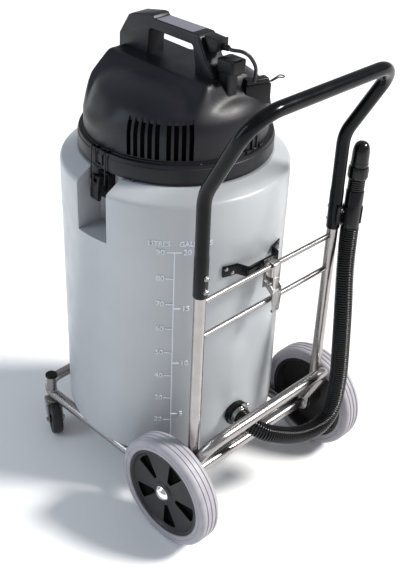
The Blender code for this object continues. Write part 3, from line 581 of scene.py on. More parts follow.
# ---- drain hose ----
HOSE_R = 0.0195
HOSE_PITCH = 0.0052
HOSE_GROOVE = 0.003
CUFF_FOOT = Vector((-0.2185, 0.2985, 0.612))
CUFF_TOP = Vector((-0.2385, 0.2885, 0.796))
HOSE_ROUTE = [
    (0.03296, 0.26093, 0.212),
    (0.03497, 0.2768, 0.212),
    (0.033, 0.293, 0.208),
    (0.018, 0.314, 0.1965),
    (-0.009, 0.33, 0.183),
    (-0.042, 0.342, 0.1695),
    (-0.08, 0.351, 0.1605),
    (-0.115, 0.359, 0.166),
    (-0.136, 0.364, 0.186),
    (-0.147, 0.366, 0.215),
    (-0.153, 0.365, 0.252),
    (-0.1575, 0.3625, 0.3),
    (-0.1625, 0.355, 0.36),
    (-0.168, 0.3465, 0.42),
    (-0.1765, 0.336, 0.468),
    (-0.1885, 0.3235, 0.506),
    (-0.2015, 0.312, 0.538),
    (-0.211, 0.304, 0.566),
    (-0.2167, 0.2994, 0.5955),
    (-0.2184, 0.2985, 0.6112),
]


def drain_hose(with_pieces):
    """Corrugated hose: rounded rings with narrow valleys, along the route the frame holds."""
    line = smooth_route(HOSE_ROUTE, HOSE_PITCH / 6)
    swell = [0.0, 0.7, 0.97, 1.0, 0.97, 0.7]
    radii = [HOSE_R - HOSE_GROOVE * (1.0 - swell[index % 6]) for index in range(len(line))]
    mesh = sweep_mesh(line, radii, 36)
    made = piece("drain_hose_rings", mesh, "hose_plastic", "trolley", ["drain_hose"], 60.0)
    path = [point + SHIFT for point in smooth_route(HOSE_ROUTE, 0.012)]


def cuff_place():
    axis = (CUFF_TOP - CUFF_FOOT).normalized()
    return Matrix.Translation(CUFF_FOOT) @ axis.to_track_quat("Z", "Y").to_matrix().to_4x4()


def hose_cuff():
    """Smooth cuff with a ribbed neck and the collar that the cap plugs into."""
    profile = [(0.0, 0.0), (0.0184, 0.0), (0.0188, 0.0006), (0.0188, 0.079), (0.0182, 0.08),
        (0.017, 0.0805)]
    for index in range(5):
        low = 0.0815 + index * 0.0046
        profile += [(0.0158, low), (0.0175, low + 0.0012), (0.0175, low + 0.003),
            (0.0158, low + 0.0042)]
    profile += [(0.0178, 0.105), (0.02, 0.1075), (0.0205, 0.109), (0.0205, 0.13), (0.0198, 0.1318)]
    profile += [(0.0127, 0.132), (0.0125, 0.1315), (0.0125, 0.095), (0.0, 0.095)]
    body = lathe_mesh(profile, False, 56, cuff_place())
    grips = []
    for index in range(14):
        spin = Matrix.Rotation(2 * math.pi * index / 14, 4, "Z")
        grips.append(box_mesh((0.0196, -0.0012, 0.1105), (0.021, 0.0012, 0.1285), cuff_place() @ spin))
    return piece("hose_cuff_moulding", joined([body, *grips]), "hose_plastic", "trolley", ["hose_cuff"])


def hose_cap():
    profile = [(0.0, 0.105), (0.012, 0.105), (0.012, 0.1323), (0.0183, 0.1323), (0.0187, 0.133)]
    profile += [(0.0186, 0.14), (0.0178, 0.1406), (0.0179, 0.15)]
    profile += [(0.0176, 0.162), (0.0167, 0.17), (0.015, 0.1757), (0.0122, 0.1804), (0.0085, 0.1833),
        (0.0045, 0.1845), (0.0, 0.1848)]
    return piece("hose_cap_moulding", lathe_mesh(profile, False, 56, cuff_place()), "hose_plastic",
        "cap", ["hose_cap"], 50.0)



# ---- drum and its scale ----
DRUM_R = 0.236
RIM_R = 0.2005
RIM_TOP = 0.763
MOUTH_R = 0.158
DRUM_BOTTOM = 0.1035
DRUM_WALL = 0.005
RECESS = ((0.172, -0.031, 0.636), (0.3, 0.05, 0.8))
OUTLET_ANGLE = math.radians(7.2)
OUTLET_Z = 0.212
INLET_Z = 0.665
STEP_Z = 0.6285
SCALE_ANGLE = math.radians(43.8)
SCALE_TOP = 0.643
SCALE_PITCH = 0.00596
GALLON = 4.546


def port_place(angle, z):
    """Turned pieces on the drum's wall: their axis points straight out of it."""
    turn = radial(angle, 1.0, 0.0).to_track_quat("Z", "Y").to_matrix().to_4x4()
    return Matrix.Translation((0.0, 0.0, z)) @ turn


def recess_mesh(side, grow):
    low, high = (Vector(corner) for corner in RECESS)
    low -= Vector((grow, grow, grow))
    high += Vector((0.0, grow, grow))
    outline = softened([(low.x, low.y), (high.x, low.y), (high.x, high.y), (low.x, high.y)],
        0.006 + grow, 4)
    half = (high.z - low.z) / 2
    mesh = prism_mesh(outline, half, None, low.z + half)
    if side < 0:
        mesh.transform(Matrix.Diagonal((-1.0, 1.0, 1.0, 1.0)))
        mesh.flip_normals()
    return mesh


def drum_shell():
    """Moulded drum: sloping top, rolled shoulder and foot, a clip recess on each side, open at the mouth."""
    corners = [(0.0, RIM_TOP), (RIM_R, RIM_TOP), (DRUM_R, 0.7418), (DRUM_R, STEP_Z + 0.0012)]
    corners += [(DRUM_R - 0.0005, STEP_Z), (DRUM_R - 0.0005, DRUM_BOTTOM), (0.0, DRUM_BOTTOM)]
    outer = rounded([(r, z, 0.0) for r, z in corners], [0.004, 0.013, 0.0, 0.0, 0.044], 9)
    body = lathe_mesh([(p.x, p.y) for p in outer], False, 144)
    for side in (1, -1):
        body = combined(body, recess_mesh(side, 0.0))
    body = bevelled(body, 0.003, 3, 50.0)
    wall = DRUM_WALL
    corners = [(0.0, 0.78), (MOUTH_R, 0.78), (MOUTH_R, RIM_TOP - wall), (RIM_R - 0.003, RIM_TOP - wall)]
    corners += [(DRUM_R - wall, 0.738), (DRUM_R - wall, DRUM_BOTTOM + wall), (0.0, DRUM_BOTTOM + wall)]
    inner = rounded([(r, z, 0.0) for r, z in corners], [0.0, 0.0, 0.004, 0.012, 0.042], 6)
    hollow = lathe_mesh([(p.x, p.y) for p in inner], False, 96)
    for side in (1, -1):
        hollow = combined(hollow, recess_mesh(side, wall))
    body = combined(body, hollow)
    for angle, z, radius in ((OUTLET_ANGLE, OUTLET_Z, 0.0165), (math.pi, INLET_Z, 0.022)):
        body = combined(body, lathe_mesh([(0, 0.2), (radius, 0.2), (radius, 0.26), (0, 0.26)], False,
            48, port_place(angle, z)))
    piece("drum_moulding", body, "grey_plastic", "trolley", ["drum"], 34.0)


def wrapped(mesh, angle, radius):
    """Bends a flat mesh, drawn in its x and y with its thickness in z, round the drum's wall."""
    for vertex in mesh.vertices:
        along, up, out = vertex.co
        vertex.co = radial(angle - along / radius, radius + out, up)
    return mesh


def words_mesh(words, size, align, at):
    """Raised figures on their own flat plane."""
    curve = bpy.data.curves.new("figures", "FONT")
    curve.body = words
    curve.size = size
    curve.align_x = align
    curve.align_y = "CENTER"
    curve.extrude = 0.0009
    curve.offset = 0.0003
    curve.resolution_u = 2
    mesh = scratch_object(bpy.data.objects.new("figures", curve))
    mesh.transform(Matrix.Translation((at[0], at[1], 0.0007)))
    return mesh


def bar_mesh(start, end, width):
    """Raised line on the flat plane."""
    start = Vector((*start, 0.0))
    end = Vector((*end, 0.0))
    along = (end - start).normalized()
    side = Vector((-along.y, along.x, 0.0)) * width / 2
    outline = [start - side, end - side, end + side, start + side]
    return prism_mesh([(p.x, p.y) for p in outline], 0.0008, None, 0.0006)


def drum_scale():
    """Raised volume scale: litres on the left of the line, gallons on its right."""
    bottom = SCALE_TOP - 84 * SCALE_PITCH
    flat = [bar_mesh((0.0, bottom), (0.0, SCALE_TOP + 0.0011), 0.0022)]
    for litres in range(90, 9, -10):
        z = SCALE_TOP - (90 - litres) * SCALE_PITCH
        flat.append(bar_mesh((-0.016, z), (-0.001, z), 0.0019))
        flat.append(words_mesh(str(litres), 0.0162, "RIGHT", (-0.0185, z)))
    for gallons in (20, 15, 10, 5):
        z = SCALE_TOP - (90 - min(gallons * GALLON, 90)) * SCALE_PITCH
        flat.append(bar_mesh((0.001, z), (0.0145, z), 0.0019))
        flat.append(words_mesh(str(gallons), 0.0162, "LEFT", (0.0168, z)))
    for words, align, along in (("LITRES", "RIGHT", -0.0085), ("GALLONS", "LEFT", 0.0085)):
        flat.append(words_mesh(words, 0.0146, align, (along, SCALE_TOP + 0.0185)))
    mesh = wrapped(joined(flat), SCALE_ANGLE, DRUM_R - 0.0003)
    # The figures and lines are coloured lighter than the drum: a painted highlight.
    piece("scale_marks", mesh, "scale_plastic", "trolley", [], 30.0)


def drain_outlet():
    """Flange on the drum, with six lugs round it and a band that holds the hose."""
    place = port_place(OUTLET_ANGLE, OUTLET_Z)
    face = DRUM_R + 0.0003
    ring = [(0.0165, face), (0.0285, face), (0.029, face + 0.001), (0.029, face + 0.008),
        (0.0275, face + 0.011)]
    ring += [(0.0205, face + 0.0118), (0.0195, face + 0.0128), (0.0195, face + 0.025),
        (0.0188, face + 0.0257)]
    ring += [(0.0168, face + 0.0257), (0.0165, face + 0.025)]
    parts = [lathe_mesh(ring, True, 72, place)]
    for index in range(6):
        turn = Matrix.Rotation(2 * math.pi * (index + 0.5) / 6, 4, "Z")
        parts.append(box_mesh((0.0262, -0.0022, face + 0.002), (0.0296, 0.0022, face + 0.0098),
            place @ turn))
    piece("outlet_moulding", joined(parts), "satin_black", "trolley", ["outlet_flange"])
    band = [(0.0198, 0.25), (0.0222, 0.25), (0.0225, 0.2504), (0.0225, 0.2601), (0.0222, 0.2605),
        (0.0198, 0.2605)]
    parts = [lathe_mesh(band, True, 72, place)]
    for index in range(44):
        turn = Matrix.Rotation(2 * math.pi * index / 44, 4, "Z")
        parts.append(box_mesh((0.022, -0.0005, 0.2515), (0.0228, 0.0005, 0.259), place @ turn))
    spin = Matrix.Rotation(-OUTLET_ANGLE, 4, "Z")
    housing = box_mesh((-0.015, 0.2506, OUTLET_Z + 0.0206), (-0.003, 0.2606, OUTLET_Z + 0.0282), spin)
    parts.append(bevelled(housing, 0.0012, 2))
    shank = [(0, -0.0195), (0.0036, -0.0195), (0.004, -0.019), (0.004, -0.0152), (0.0022, -0.015),
        (0.0022, 0.0008), (0, 0.0008)]
    lie = spin @ Matrix.Translation((0.0, 0.2556, OUTLET_Z + 0.0246)) @ Matrix.Rotation(math.pi / 2, 4,
        "Y")
    parts.append(lathe_mesh(shank, False, 24, lie))
    piece("clamp_band", joined(parts), "zinc_plate", "trolley", ["hose_clamp"])


def inlet_port():
    """Suction inlet at the front: a flange with four screws and the socket that a hose's end locks into."""
    place = port_place(math.pi, INLET_Z)
    face = DRUM_R + 0.0003
    ring = [(0.022, face), (0.0384, face), (0.039, face + 0.0008), (0.0386, face + 0.004),
        (0.037, face + 0.0055)]
    ring += [(0.0285, face + 0.007), (0.027, face + 0.0082), (0.027, face + 0.024),
        (0.0262, face + 0.0252)]
    ring += [(0.0228, face + 0.0252), (0.022, face + 0.0244)]
    body = lathe_mesh(ring, True, 96, place)
    for angle in (0.0, math.pi):
        notch = box_mesh((0.02, -0.0045, face + 0.015), (0.03, 0.0045, face + 0.026),
            place @ Matrix.Rotation(angle, 4, "Z"))
        body = combined(body, notch)
    piece("inlet_moulding", bevelled(body, 0.0006, 2), "satin_black", "trolley", ["inlet_port"])
    screws = []
    for index in range(4):
        turn = place @ Matrix.Rotation(math.pi * (index + 0.5) / 2, 4, "Z")
        spot = turn @ Vector((0.033, 0.0, face + 0.0056))
        screws.append(screw_mesh(spot, radial(math.pi, 1.0, 0.0), 0.0022, 0.0022, 16))
    piece("inlet_screws", joined(screws), "zinc_plate")


# ---- trolley ----
TUBE_R = 0.0125
RAIL_X = 0.195
RAIL_Z = 0.09
RAIL_FRONT = -0.25
RAIL_BEND = 0.055
PLATE_FRONT = 0.208
AXLE_Y = 0.245
AXLE_R = 0.01
AXLE_HALF = 0.2555
WHEEL_R = 0.125
BAR_Y = 0.313
BAR_Z = 0.2625
LEG_X = 0.1946
LEG_BEND = 0.05
LEG_END = 0.022
PLATE_X = (0.1885, 0.1945)
UPRIGHT_Y = 0.2725
UPRIGHT_R = 0.012
UPRIGHT_FOOT = 0.182
UPRIGHT_TOP = 0.7
RODS = {"upper_rod": 0.591, "lower_rod": 0.511}
ROD_R = 0.0055
HANDLE_R = 0.0135
HANDLE_BOTTOM = 0.608
HANDLE_KNEE_Z = 0.8187
HANDLE_TOP = (0.3726, 0.9946)
LEG_RISE = Vector((0.0, BAR_Y - AXLE_Y, BAR_Z - WHEEL_R)).normalized()


def bead_mesh(at, axis, radius, thick=0.0022):
    """Weld bead: a slightly uneven ring where a tube meets another piece."""
    turn = Matrix.Translation(at) @ Vector(axis).to_track_quat("Z", "Y").to_matrix().to_4x4()
    mesh = bmesh.new()
    rings = []
    for step in range(40):
        angle = 2 * math.pi * step / 40
        swell = thick * (0.82 + 0.18 * math.cos(10 * angle))
        ring = []
        for side in range(8):
            lean = 2 * math.pi * side / 8
            reach = radius + swell * math.cos(lean)
            ring.append(mesh.verts.new((reach * math.cos(angle), reach * math.sin(angle),
                swell * math.sin(lean))))
        rings.append(ring)
    for step in range(40):
        one, two = rings[step], rings[(step + 1) % 40]
        for side in range(8):
            after = (side + 1) % 8
            mesh.faces.new((one[side], one[after], two[after], two[side]))
    return settle(mesh, turn)


def bent_tube(corners, bends, radius, steps=10, sides=32):
    line = rounded(corners, bends, steps)
    return sweep_mesh(line, radius, sides)


def base_loop():
    """Floor loop of the trolley: two rails joined by the bend at the front."""
    back = PLATE_FRONT - 0.0003
    corners = [(RAIL_X, back, RAIL_Z), (RAIL_X, RAIL_FRONT, RAIL_Z), (-RAIL_X, RAIL_FRONT, RAIL_Z),
        (-RAIL_X, back, RAIL_Z)]
    parts = [bent_tube(corners, [RAIL_BEND] * 2, TUBE_R)]
    for side in (1, -1):
        parts.append(bead_mesh((side * RAIL_X, back - 0.0006, RAIL_Z), (0, 1, 0), TUBE_R - 0.0006))
    piece("base_loop_tube", joined(parts), "steel_x", "trolley", ["base_loop"])


def rear_bar():
    foot = Vector((0.0, AXLE_Y, WHEEL_R)) + LEG_RISE * LEG_END
    corners = [(LEG_X, foot.y, foot.z), (LEG_X, BAR_Y, BAR_Z), (-LEG_X, BAR_Y, BAR_Z),
        (-LEG_X, foot.y, foot.z)]
    parts = [bent_tube(corners, [LEG_BEND] * 2, TUBE_R)]
    for side in (1, -1):
        at = Vector((side * LEG_X, foot.y, foot.z)) + LEG_RISE * 0.001
        parts.append(bead_mesh(at, LEG_RISE, TUBE_R - 0.0006))
    piece("rear_bar_tube", joined(parts), "steel_x", "trolley", ["rear_bar"])


def axle_plate(side):
    axle = Vector((AXLE_Y, WHEEL_R))
    up = Vector((LEG_RISE.y, LEG_RISE.z))
    across = Vector((-up.y, up.x))
    outline = [(PLATE_FRONT, RAIL_Z - TUBE_R), (PLATE_FRONT, RAIL_Z + TUBE_R)]
    outline += [tuple(axle + up * LEG_END + across * TUBE_R),
        tuple(axle + up * LEG_END - across * TUBE_R)]
    outline += arc(tuple(axle), 0.021, -10.0, -105.0, 14)
    half = (PLATE_X[1] - PLATE_X[0]) / 2
    mesh = prism_mesh(outline, half, IN_YZ, side * (PLATE_X[0] + half))
    name = side_name("axle_plate", side)
    piece(name + "_sheet", bevelled(mesh, 0.0008, 2), "steel_z", "trolley", [name])


def axle():
    half = PLATE_X[0] - 0.0003
    across = Matrix.Translation((0, AXLE_Y, WHEEL_R)) @ Matrix.Rotation(math.pi / 2, 4, "Y")
    tube = lathe_mesh([(TUBE_R, half), (TUBE_R, -half), (0.0108, -half), (0.0108, half)], True, 32,
        across)
    beads = [bead_mesh((side * (half - 0.001), AXLE_Y, WHEEL_R), (1, 0, 0),
        TUBE_R - 0.0004) for side in (1, -1)]
    piece("axle_tube_skin", joined([tube, *beads]), "steel_x", "trolley", ["axle_tube"])
    ends = [(0, -AXLE_HALF), (0.009, -AXLE_HALF), (AXLE_R, 0.001 - AXLE_HALF),
        (AXLE_R, AXLE_HALF - 0.001)]
    ends += [(0.009, AXLE_HALF), (0, AXLE_HALF)]
    piece("axle_rod_bar", lathe_mesh(ends, False, 32, across), "zinc_plate", "trolley", ["axle_rod"])


def upright(side):
    x = side * LEG_X
    line = [(x, UPRIGHT_Y, UPRIGHT_FOOT), (x, UPRIGHT_Y, UPRIGHT_FOOT + 0.03),
        (x, UPRIGHT_Y, UPRIGHT_TOP)]
    seat = Vector((x, UPRIGHT_Y, UPRIGHT_FOOT + 0.0035))
    parts = [sweep_mesh(line, UPRIGHT_R, 32), bead_mesh(seat, (0, -0.35, 1), UPRIGHT_R + 0.0002)]
    name = side_name("upright", side)
    piece(name + "_tube", joined(parts), "steel_z", "trolley", [name])


def cross_rods():
    reach = LEG_X - UPRIGHT_R + 0.0006
    for name, z in RODS.items():
        parts = [sweep_mesh([(-reach, UPRIGHT_Y, z), (0, UPRIGHT_Y, z), (reach, UPRIGHT_Y, z)], ROD_R,
            24)]
        for side in (1, -1):
            parts.append(bead_mesh((side * (reach - 0.0012), UPRIGHT_Y, z), (1, 0, 0), ROD_R - 0.0004,
                0.0014))
        piece(name + "_bar", joined(parts), "steel_x", "trolley", [name])


def push_handle():
    """Bent and painted tube, a little wider where it sleeves over the uprights, with its four bolts."""
    top_y, top_z = HANDLE_TOP
    right = [(LEG_X, UPRIGHT_Y, HANDLE_BOTTOM), (LEG_X, UPRIGHT_Y, HANDLE_KNEE_Z),
        (LEG_X, top_y, top_z)]
    corners = right + [(-x, y, z) for x, y, z in right[::-1]]
    line = rounded(corners, [0.09, 0.064, 0.064, 0.09], 14)
    swell = UPRIGHT_TOP - 0.004
    foot = [HANDLE_BOTTOM, HANDLE_BOTTOM + 0.0006, HANDLE_BOTTOM + 0.002, swell - 0.004, swell,
        swell + 0.006]
    wide = HANDLE_R + 0.0008
    radii = [wide - 0.0016, wide - 0.0006, wide, wide, wide - 0.0005, HANDLE_R]
    ahead = [Vector((LEG_X, UPRIGHT_Y, z)) for z in foot]
    line = ahead + line[1:-1] + [Vector((-p.x, p.y, p.z)) for p in ahead[::-1]]
    radii = radii + [HANDLE_R] * (len(line) - 12) + radii[::-1]
    mesh = sweep_mesh(line, radii, 40)
    piece("push_handle_tube", mesh, "black_paint", "trolley", ["push_handle"], 60.0)
    bolts = []
    for side in (1, -1):
        for z in (0.653, 0.624):
            x = side * LEG_X
            bolts.append(screw_mesh((x, UPRIGHT_Y + wide - 0.0006, z), (0, 1, 0), 0.0042, 0.0052))
            bolts.append(lathe_mesh([(0, 0), (0.0024, 0), (0.0024, 0.0085), (0, 0.009)], False, 16,
                lie_at((x, UPRIGHT_Y + wide, z), (0, 1, 0))))
            bolts.append(screw_mesh((x, UPRIGHT_Y - wide + 0.0006, z), (0, -1, 0), 0.004, 0.0036, 20))
    piece("handle_bolts", joined(bolts), "zinc_plate")


def lie_at(at, axis):
    return Matrix.Translation(at) @ Vector(axis).to_track_quat("Z", "Y").to_matrix().to_4x4()


def hose_clip():
    """Spring ring round the cuff and the tab that bolts it behind the handle's left sleeve."""
    centre = cuff_place() @ Matrix.Translation((0, 0, 0.028))
    inner = arc((0, 0), 0.019, 465, 175, 40)
    ring = arc((0, 0), 0.0213, 175, 465, 40)
    clip = prism_mesh(ring + inner, 0.018, centre)
    back = UPRIGHT_Y + HANDLE_R + 0.0011
    tab = box_mesh((-0.2072, back, 0.622), (-0.1812, back + 0.0036, 0.664))
    piece("hose_clip_spring", joined([bevelled(clip, 0.0006, 2), bevelled(tab, 0.001, 2)]),
        "satin_black", "trolley", ["hose_clip"])


# ---- wheels and casters ----
WHEEL_X = 0.233
# Depth and reach of the hub's pocket faces that get painted shade.
PAINTED_SHADE_DEPTH = (0.008, 0.016)
PAINTED_SHADE_REACH = (0.03, 0.0885)
CASTER_XY = (0.198, -0.202)
CASTER_YAW = math.radians(-27.0)
CASTER_TRAIL = 0.028
CASTER_R = 0.0375


def wheel(side):
    """Grey tyre with tread grooves on a dark hub with five pockets whose faces carry painted shade, and a chrome
    cap over the axle's end.
    """
    place = Matrix.Translation((side * WHEEL_X, AXLE_Y, WHEEL_R)) @ Matrix.Rotation(side * math.pi / 2,
        4, "Y")
    flank = [(0.1008, 0.0228), (0.1016, 0.024), (0.104, 0.0245), (0.1085, 0.0243), (0.1092, 0.0234),
        (0.1108, 0.0234)]
    flank += [(0.1116, 0.0243), (0.118, 0.024), (0.1215, 0.0222), (0.124, 0.0188), (0.1248, 0.0155)]
    tread = []
    for groove in (0.011, 0.0, -0.011):
        tread += [(WHEEL_R, groove + 0.0022), (0.1232, groove + 0.0012), (0.1232, groove - 0.0012),
            (WHEEL_R, groove - 0.0022)]
    tyre = flank + tread + [(r, -z) for r, z in flank[::-1]]
    body = side_name("wheel", side)
    name = side_name("wheel_tyre", side)
    piece(name + "_tread", lathe_mesh(tyre, True, 128, place), "grey_rubber", body, [name], 40.0)
    hub = [(0.1005, 0.0218), (0.0998, 0.0225), (0.0945, 0.0225), (0.0935, 0.0215), (0.0905, 0.0178),
        (0.088, 0.017)]
    hub += [(0.029, 0.017), (0.026, 0.018), (0.0235, 0.0215), (0.0215, 0.0225), (0.0104, 0.0225)]
    hub += [(0.0104, -0.0345), (0.021, -0.0345), (0.022, -0.0335), (0.0226, 0.0065), (0.0935, 0.0065)]
    hub += [(0.0935, -0.021), (0.0945, -0.022), (0.0998, -0.022), (0.1005, -0.0212)]
    mesh = lathe_mesh(hub, True, 120, place)
    windows = []
    for index in range(5):
        spin = Matrix.Rotation(2 * math.pi * (index + 0.18) / 5, 4, "Z")
        wedge = [(0.034, -0.005), (0.083, -0.0195), (0.086, -0.012), (0.087, 0.0), (0.086, 0.012),
            (0.083, 0.0195), (0.034, 0.005)]
        windows.append(prism_mesh(softened(wedge, 0.0022, 2), 0.01, place @ spin, 0.0185))
    for window in windows:
        mesh = combined(mesh, window)
    name = side_name("wheel_hub", side)
    made = piece(name + "_moulding", bevelled(mesh, 0.0007, 2, 50.0), "hub_plastic", body, [name])
    made.data.materials.append(LOOKS["pit_black"])
    # Pocket faces take the near-black material: painted shade for the dark inside of the hub's pockets.
    for face in made.data.polygons:
        depth = side * face.center.x - WHEEL_X
        reach = math.hypot(face.center.y - SHIFT.y - AXLE_Y, face.center.z - WHEEL_R)
        if PAINTED_SHADE_DEPTH[0] < depth < PAINTED_SHADE_DEPTH[1] and PAINTED_SHADE_REACH[0] < reach < PAINTED_SHADE_REACH[1]:
            face.material_index = 1
    cap = [(0.0, 0.0325)] + [(0.0165 * math.sin(a), 0.0215 + 0.011 * math.cos(a)) for a in (0.2, 0.4,
        0.6, 0.8, 1.0, 1.2, 1.35)]
    cap += [(0.017, 0.0236), (0.0172, 0.0228), (0.0, 0.0228)]
    name = side_name("hub_cap", side)
    piece(name + "_dome", lathe_mesh(cap, False, 48, place), "chrome", body, [name], 50.0)


def caster(side):
    """Swivel caster: race and folded fork, core and tyre on a bolt."""
    x, y = CASTER_XY
    place = Matrix.Translation((side * x, y, 0.0)) @ Matrix.Rotation(CASTER_YAW, 4, "Z")
    top = RAIL_Z - TUBE_R - 0.0003
    leg = [(-0.014, top - 0.003), (0.018, top - 0.003), (0.0375, 0.047), (0.0405, 0.037),
        (0.0345, 0.0285), (0.0225, 0.028), (-0.014, 0.064)]
    parts = [bevelled(prism_mesh(softened(leg, 0.003, 3), 0.0014, place @ IN_YZ, flank * 0.0166),
        0.0004, 1) for flank in (1, -1)]
    plate = [(-0.018, -0.014), (0.018, -0.014), (0.018, 0.018), (-0.018, 0.018)]
    parts.append(bevelled(prism_mesh(softened(plate, 0.004, 3), 0.0014, place, top - 0.0026), 0.0004,
        1))
    race = [(0, top - 0.0044), (0.015, top - 0.0044), (0.0165, top - 0.0036), (0.0165, top - 0.001),
        (0.015, top), (0, top)]
    parts.append(lathe_mesh(race, False, 40, place))
    name = side_name("caster_fork", side)
    piece(name + "_sheet", joined(parts), "zinc_plate", side_name("swivel", side), [name])
    hub = place @ Matrix.Translation((0, CASTER_TRAIL, CASTER_R)) @ Matrix.Rotation(math.pi / 2, 4, "Y")
    tyre = [(0.025, 0.0118), (0.0262, 0.0125), (0.0335, 0.0125), (0.0356, 0.0112), (0.037, 0.0088),
        (CASTER_R, 0.0055)]
    tyre += [(CASTER_R, -0.0055), (0.037, -0.0088), (0.0356, -0.0112), (0.0335, -0.0125),
        (0.0262, -0.0125), (0.025, -0.0118)]
    body = side_name("caster_roller", side)
    name = side_name("caster_tyre", side)
    piece(name + "_tread", lathe_mesh(tyre, True, 64, hub), "black_tyre", body, [name], 50.0)
    half = [(0.0, 0.0148), (0.0084, 0.0148), (0.009, 0.0142), (0.0098, 0.0098), (0.0112, 0.0092),
        (0.02, 0.0092), (0.0225, 0.0112), (0.0245, 0.0115)]
    core = half + [(r, -z) for r, z in half[::-1]]
    name = side_name("caster_core", side)
    piece(name + "_moulding", lathe_mesh(core, False, 48, hub), "satin_black", body, [name], 40.0)
    bolts = [screw_mesh(hub @ Vector((0, 0, flank * 0.0179)), hub.to_3x3() @ Vector((0, 0, flank)),
        0.0048, 0.004) for flank in (1, -1)]
    piece(side_name("caster_bolt", side), joined(bolts), "zinc_plate", side_name("swivel", side))
    low = RAIL_Z + TUBE_R - 0.0006
    socket = [(0, low), (0.0112, low), (0.0112, 0.1446), (0, 0.1446)]
    name = side_name("caster_socket", side)
    parts = [lathe_mesh(socket, False, 40, Matrix.Translation((side * x, y, 0.0))),
        bead_mesh((side * x, y, low + 0.002), (0, 0, 1), 0.0108)]
    piece(name + "_tube", joined(parts), "steel_z", "trolley", [name])
    cap = [(0, 0.1436), (0.013, 0.1436), (0.0142, 0.1446), (0.0142, 0.1488), (0.013, 0.1498), (0, 0.15)]
    cap = lathe_mesh(cap, False, 40, Matrix.Translation((side * x, y, 0.0)))
    piece(side_name("caster_socket_cap", side), cap, "satin_black")


# ---- bracket and toggle between the drum and the trolley ----
TOGGLE_X = -0.012
TOGGLE_PIVOT = (0.274, 0.545)
TOGGLE_HOOK = (0.2825, 0.5419)
BRACKET_Z = (0.578, 0.602)


def strip_outline(centreline, thickness):
    """Closed outline of a folded strip, its folds mitred."""
    points = [Vector(point) for point in centreline]
    left = []
    right = []
    for index, point in enumerate(points):
        before = (point - points[max(index - 1, 0)]).normalized()
        after = (points[min(index + 1, len(points) - 1)] - point).normalized()
        before = before if index > 0 else after
        after = after if index < len(points) - 1 else before
        bisector = (before + after).normalized()
        normal = Vector((-bisector.y, bisector.x))
        reach = thickness / 2 / max(normal.dot(Vector((-before.y, before.x))), 0.3)
        left.append(tuple(point + normal * reach))
        right.append(tuple(point - normal * reach))
    return left + right[::-1]


def drum_bracket():
    """Folded strap screwed to the drum by its two feet."""
    sheet = 0.003
    reach = DRUM_R + 0.0009 + sheet / 2
    half = []
    for degrees in (20.5, 18.5, 16.5, 14.5, 12.5):
        angle = math.radians(degrees)
        half.append((reach * math.sin(angle), reach * math.cos(angle)))
    half.append((0.044, 0.256))
    line = half + [(-x, y) for x, y in half[::-1]]
    rounds = [0.0] * 3 + [0.003, 0.004] + [0.004, 0.003] + [0.0] * 3
    line = [(p.x, p.y) for p in rounded([(x, y, 0.0) for x, y in line], rounds, 3)]
    tall = (BRACKET_Z[1] - BRACKET_Z[0]) / 2
    mesh = prism_mesh(strip_outline(line, sheet), tall, None, BRACKET_Z[0] + tall)
    piece("drum_bracket_strap", bevelled(mesh, 0.0006, 2), "black_paint", "trolley", ["drum_bracket"])
    screws = []
    for side in (1, -1):
        for degrees, z in ((18.6, 0.5955), (15.2, 0.5845)):
            out = radial(math.radians(side * degrees), 1.0, 0.0)
            spot = radial(math.radians(side * degrees), reach + sheet / 2 - 0.0003, z)
            screws.append(screw_mesh(spot, out, 0.003, 0.0026, 18))
    piece("bracket_screws", joined(screws), "zinc_plate")


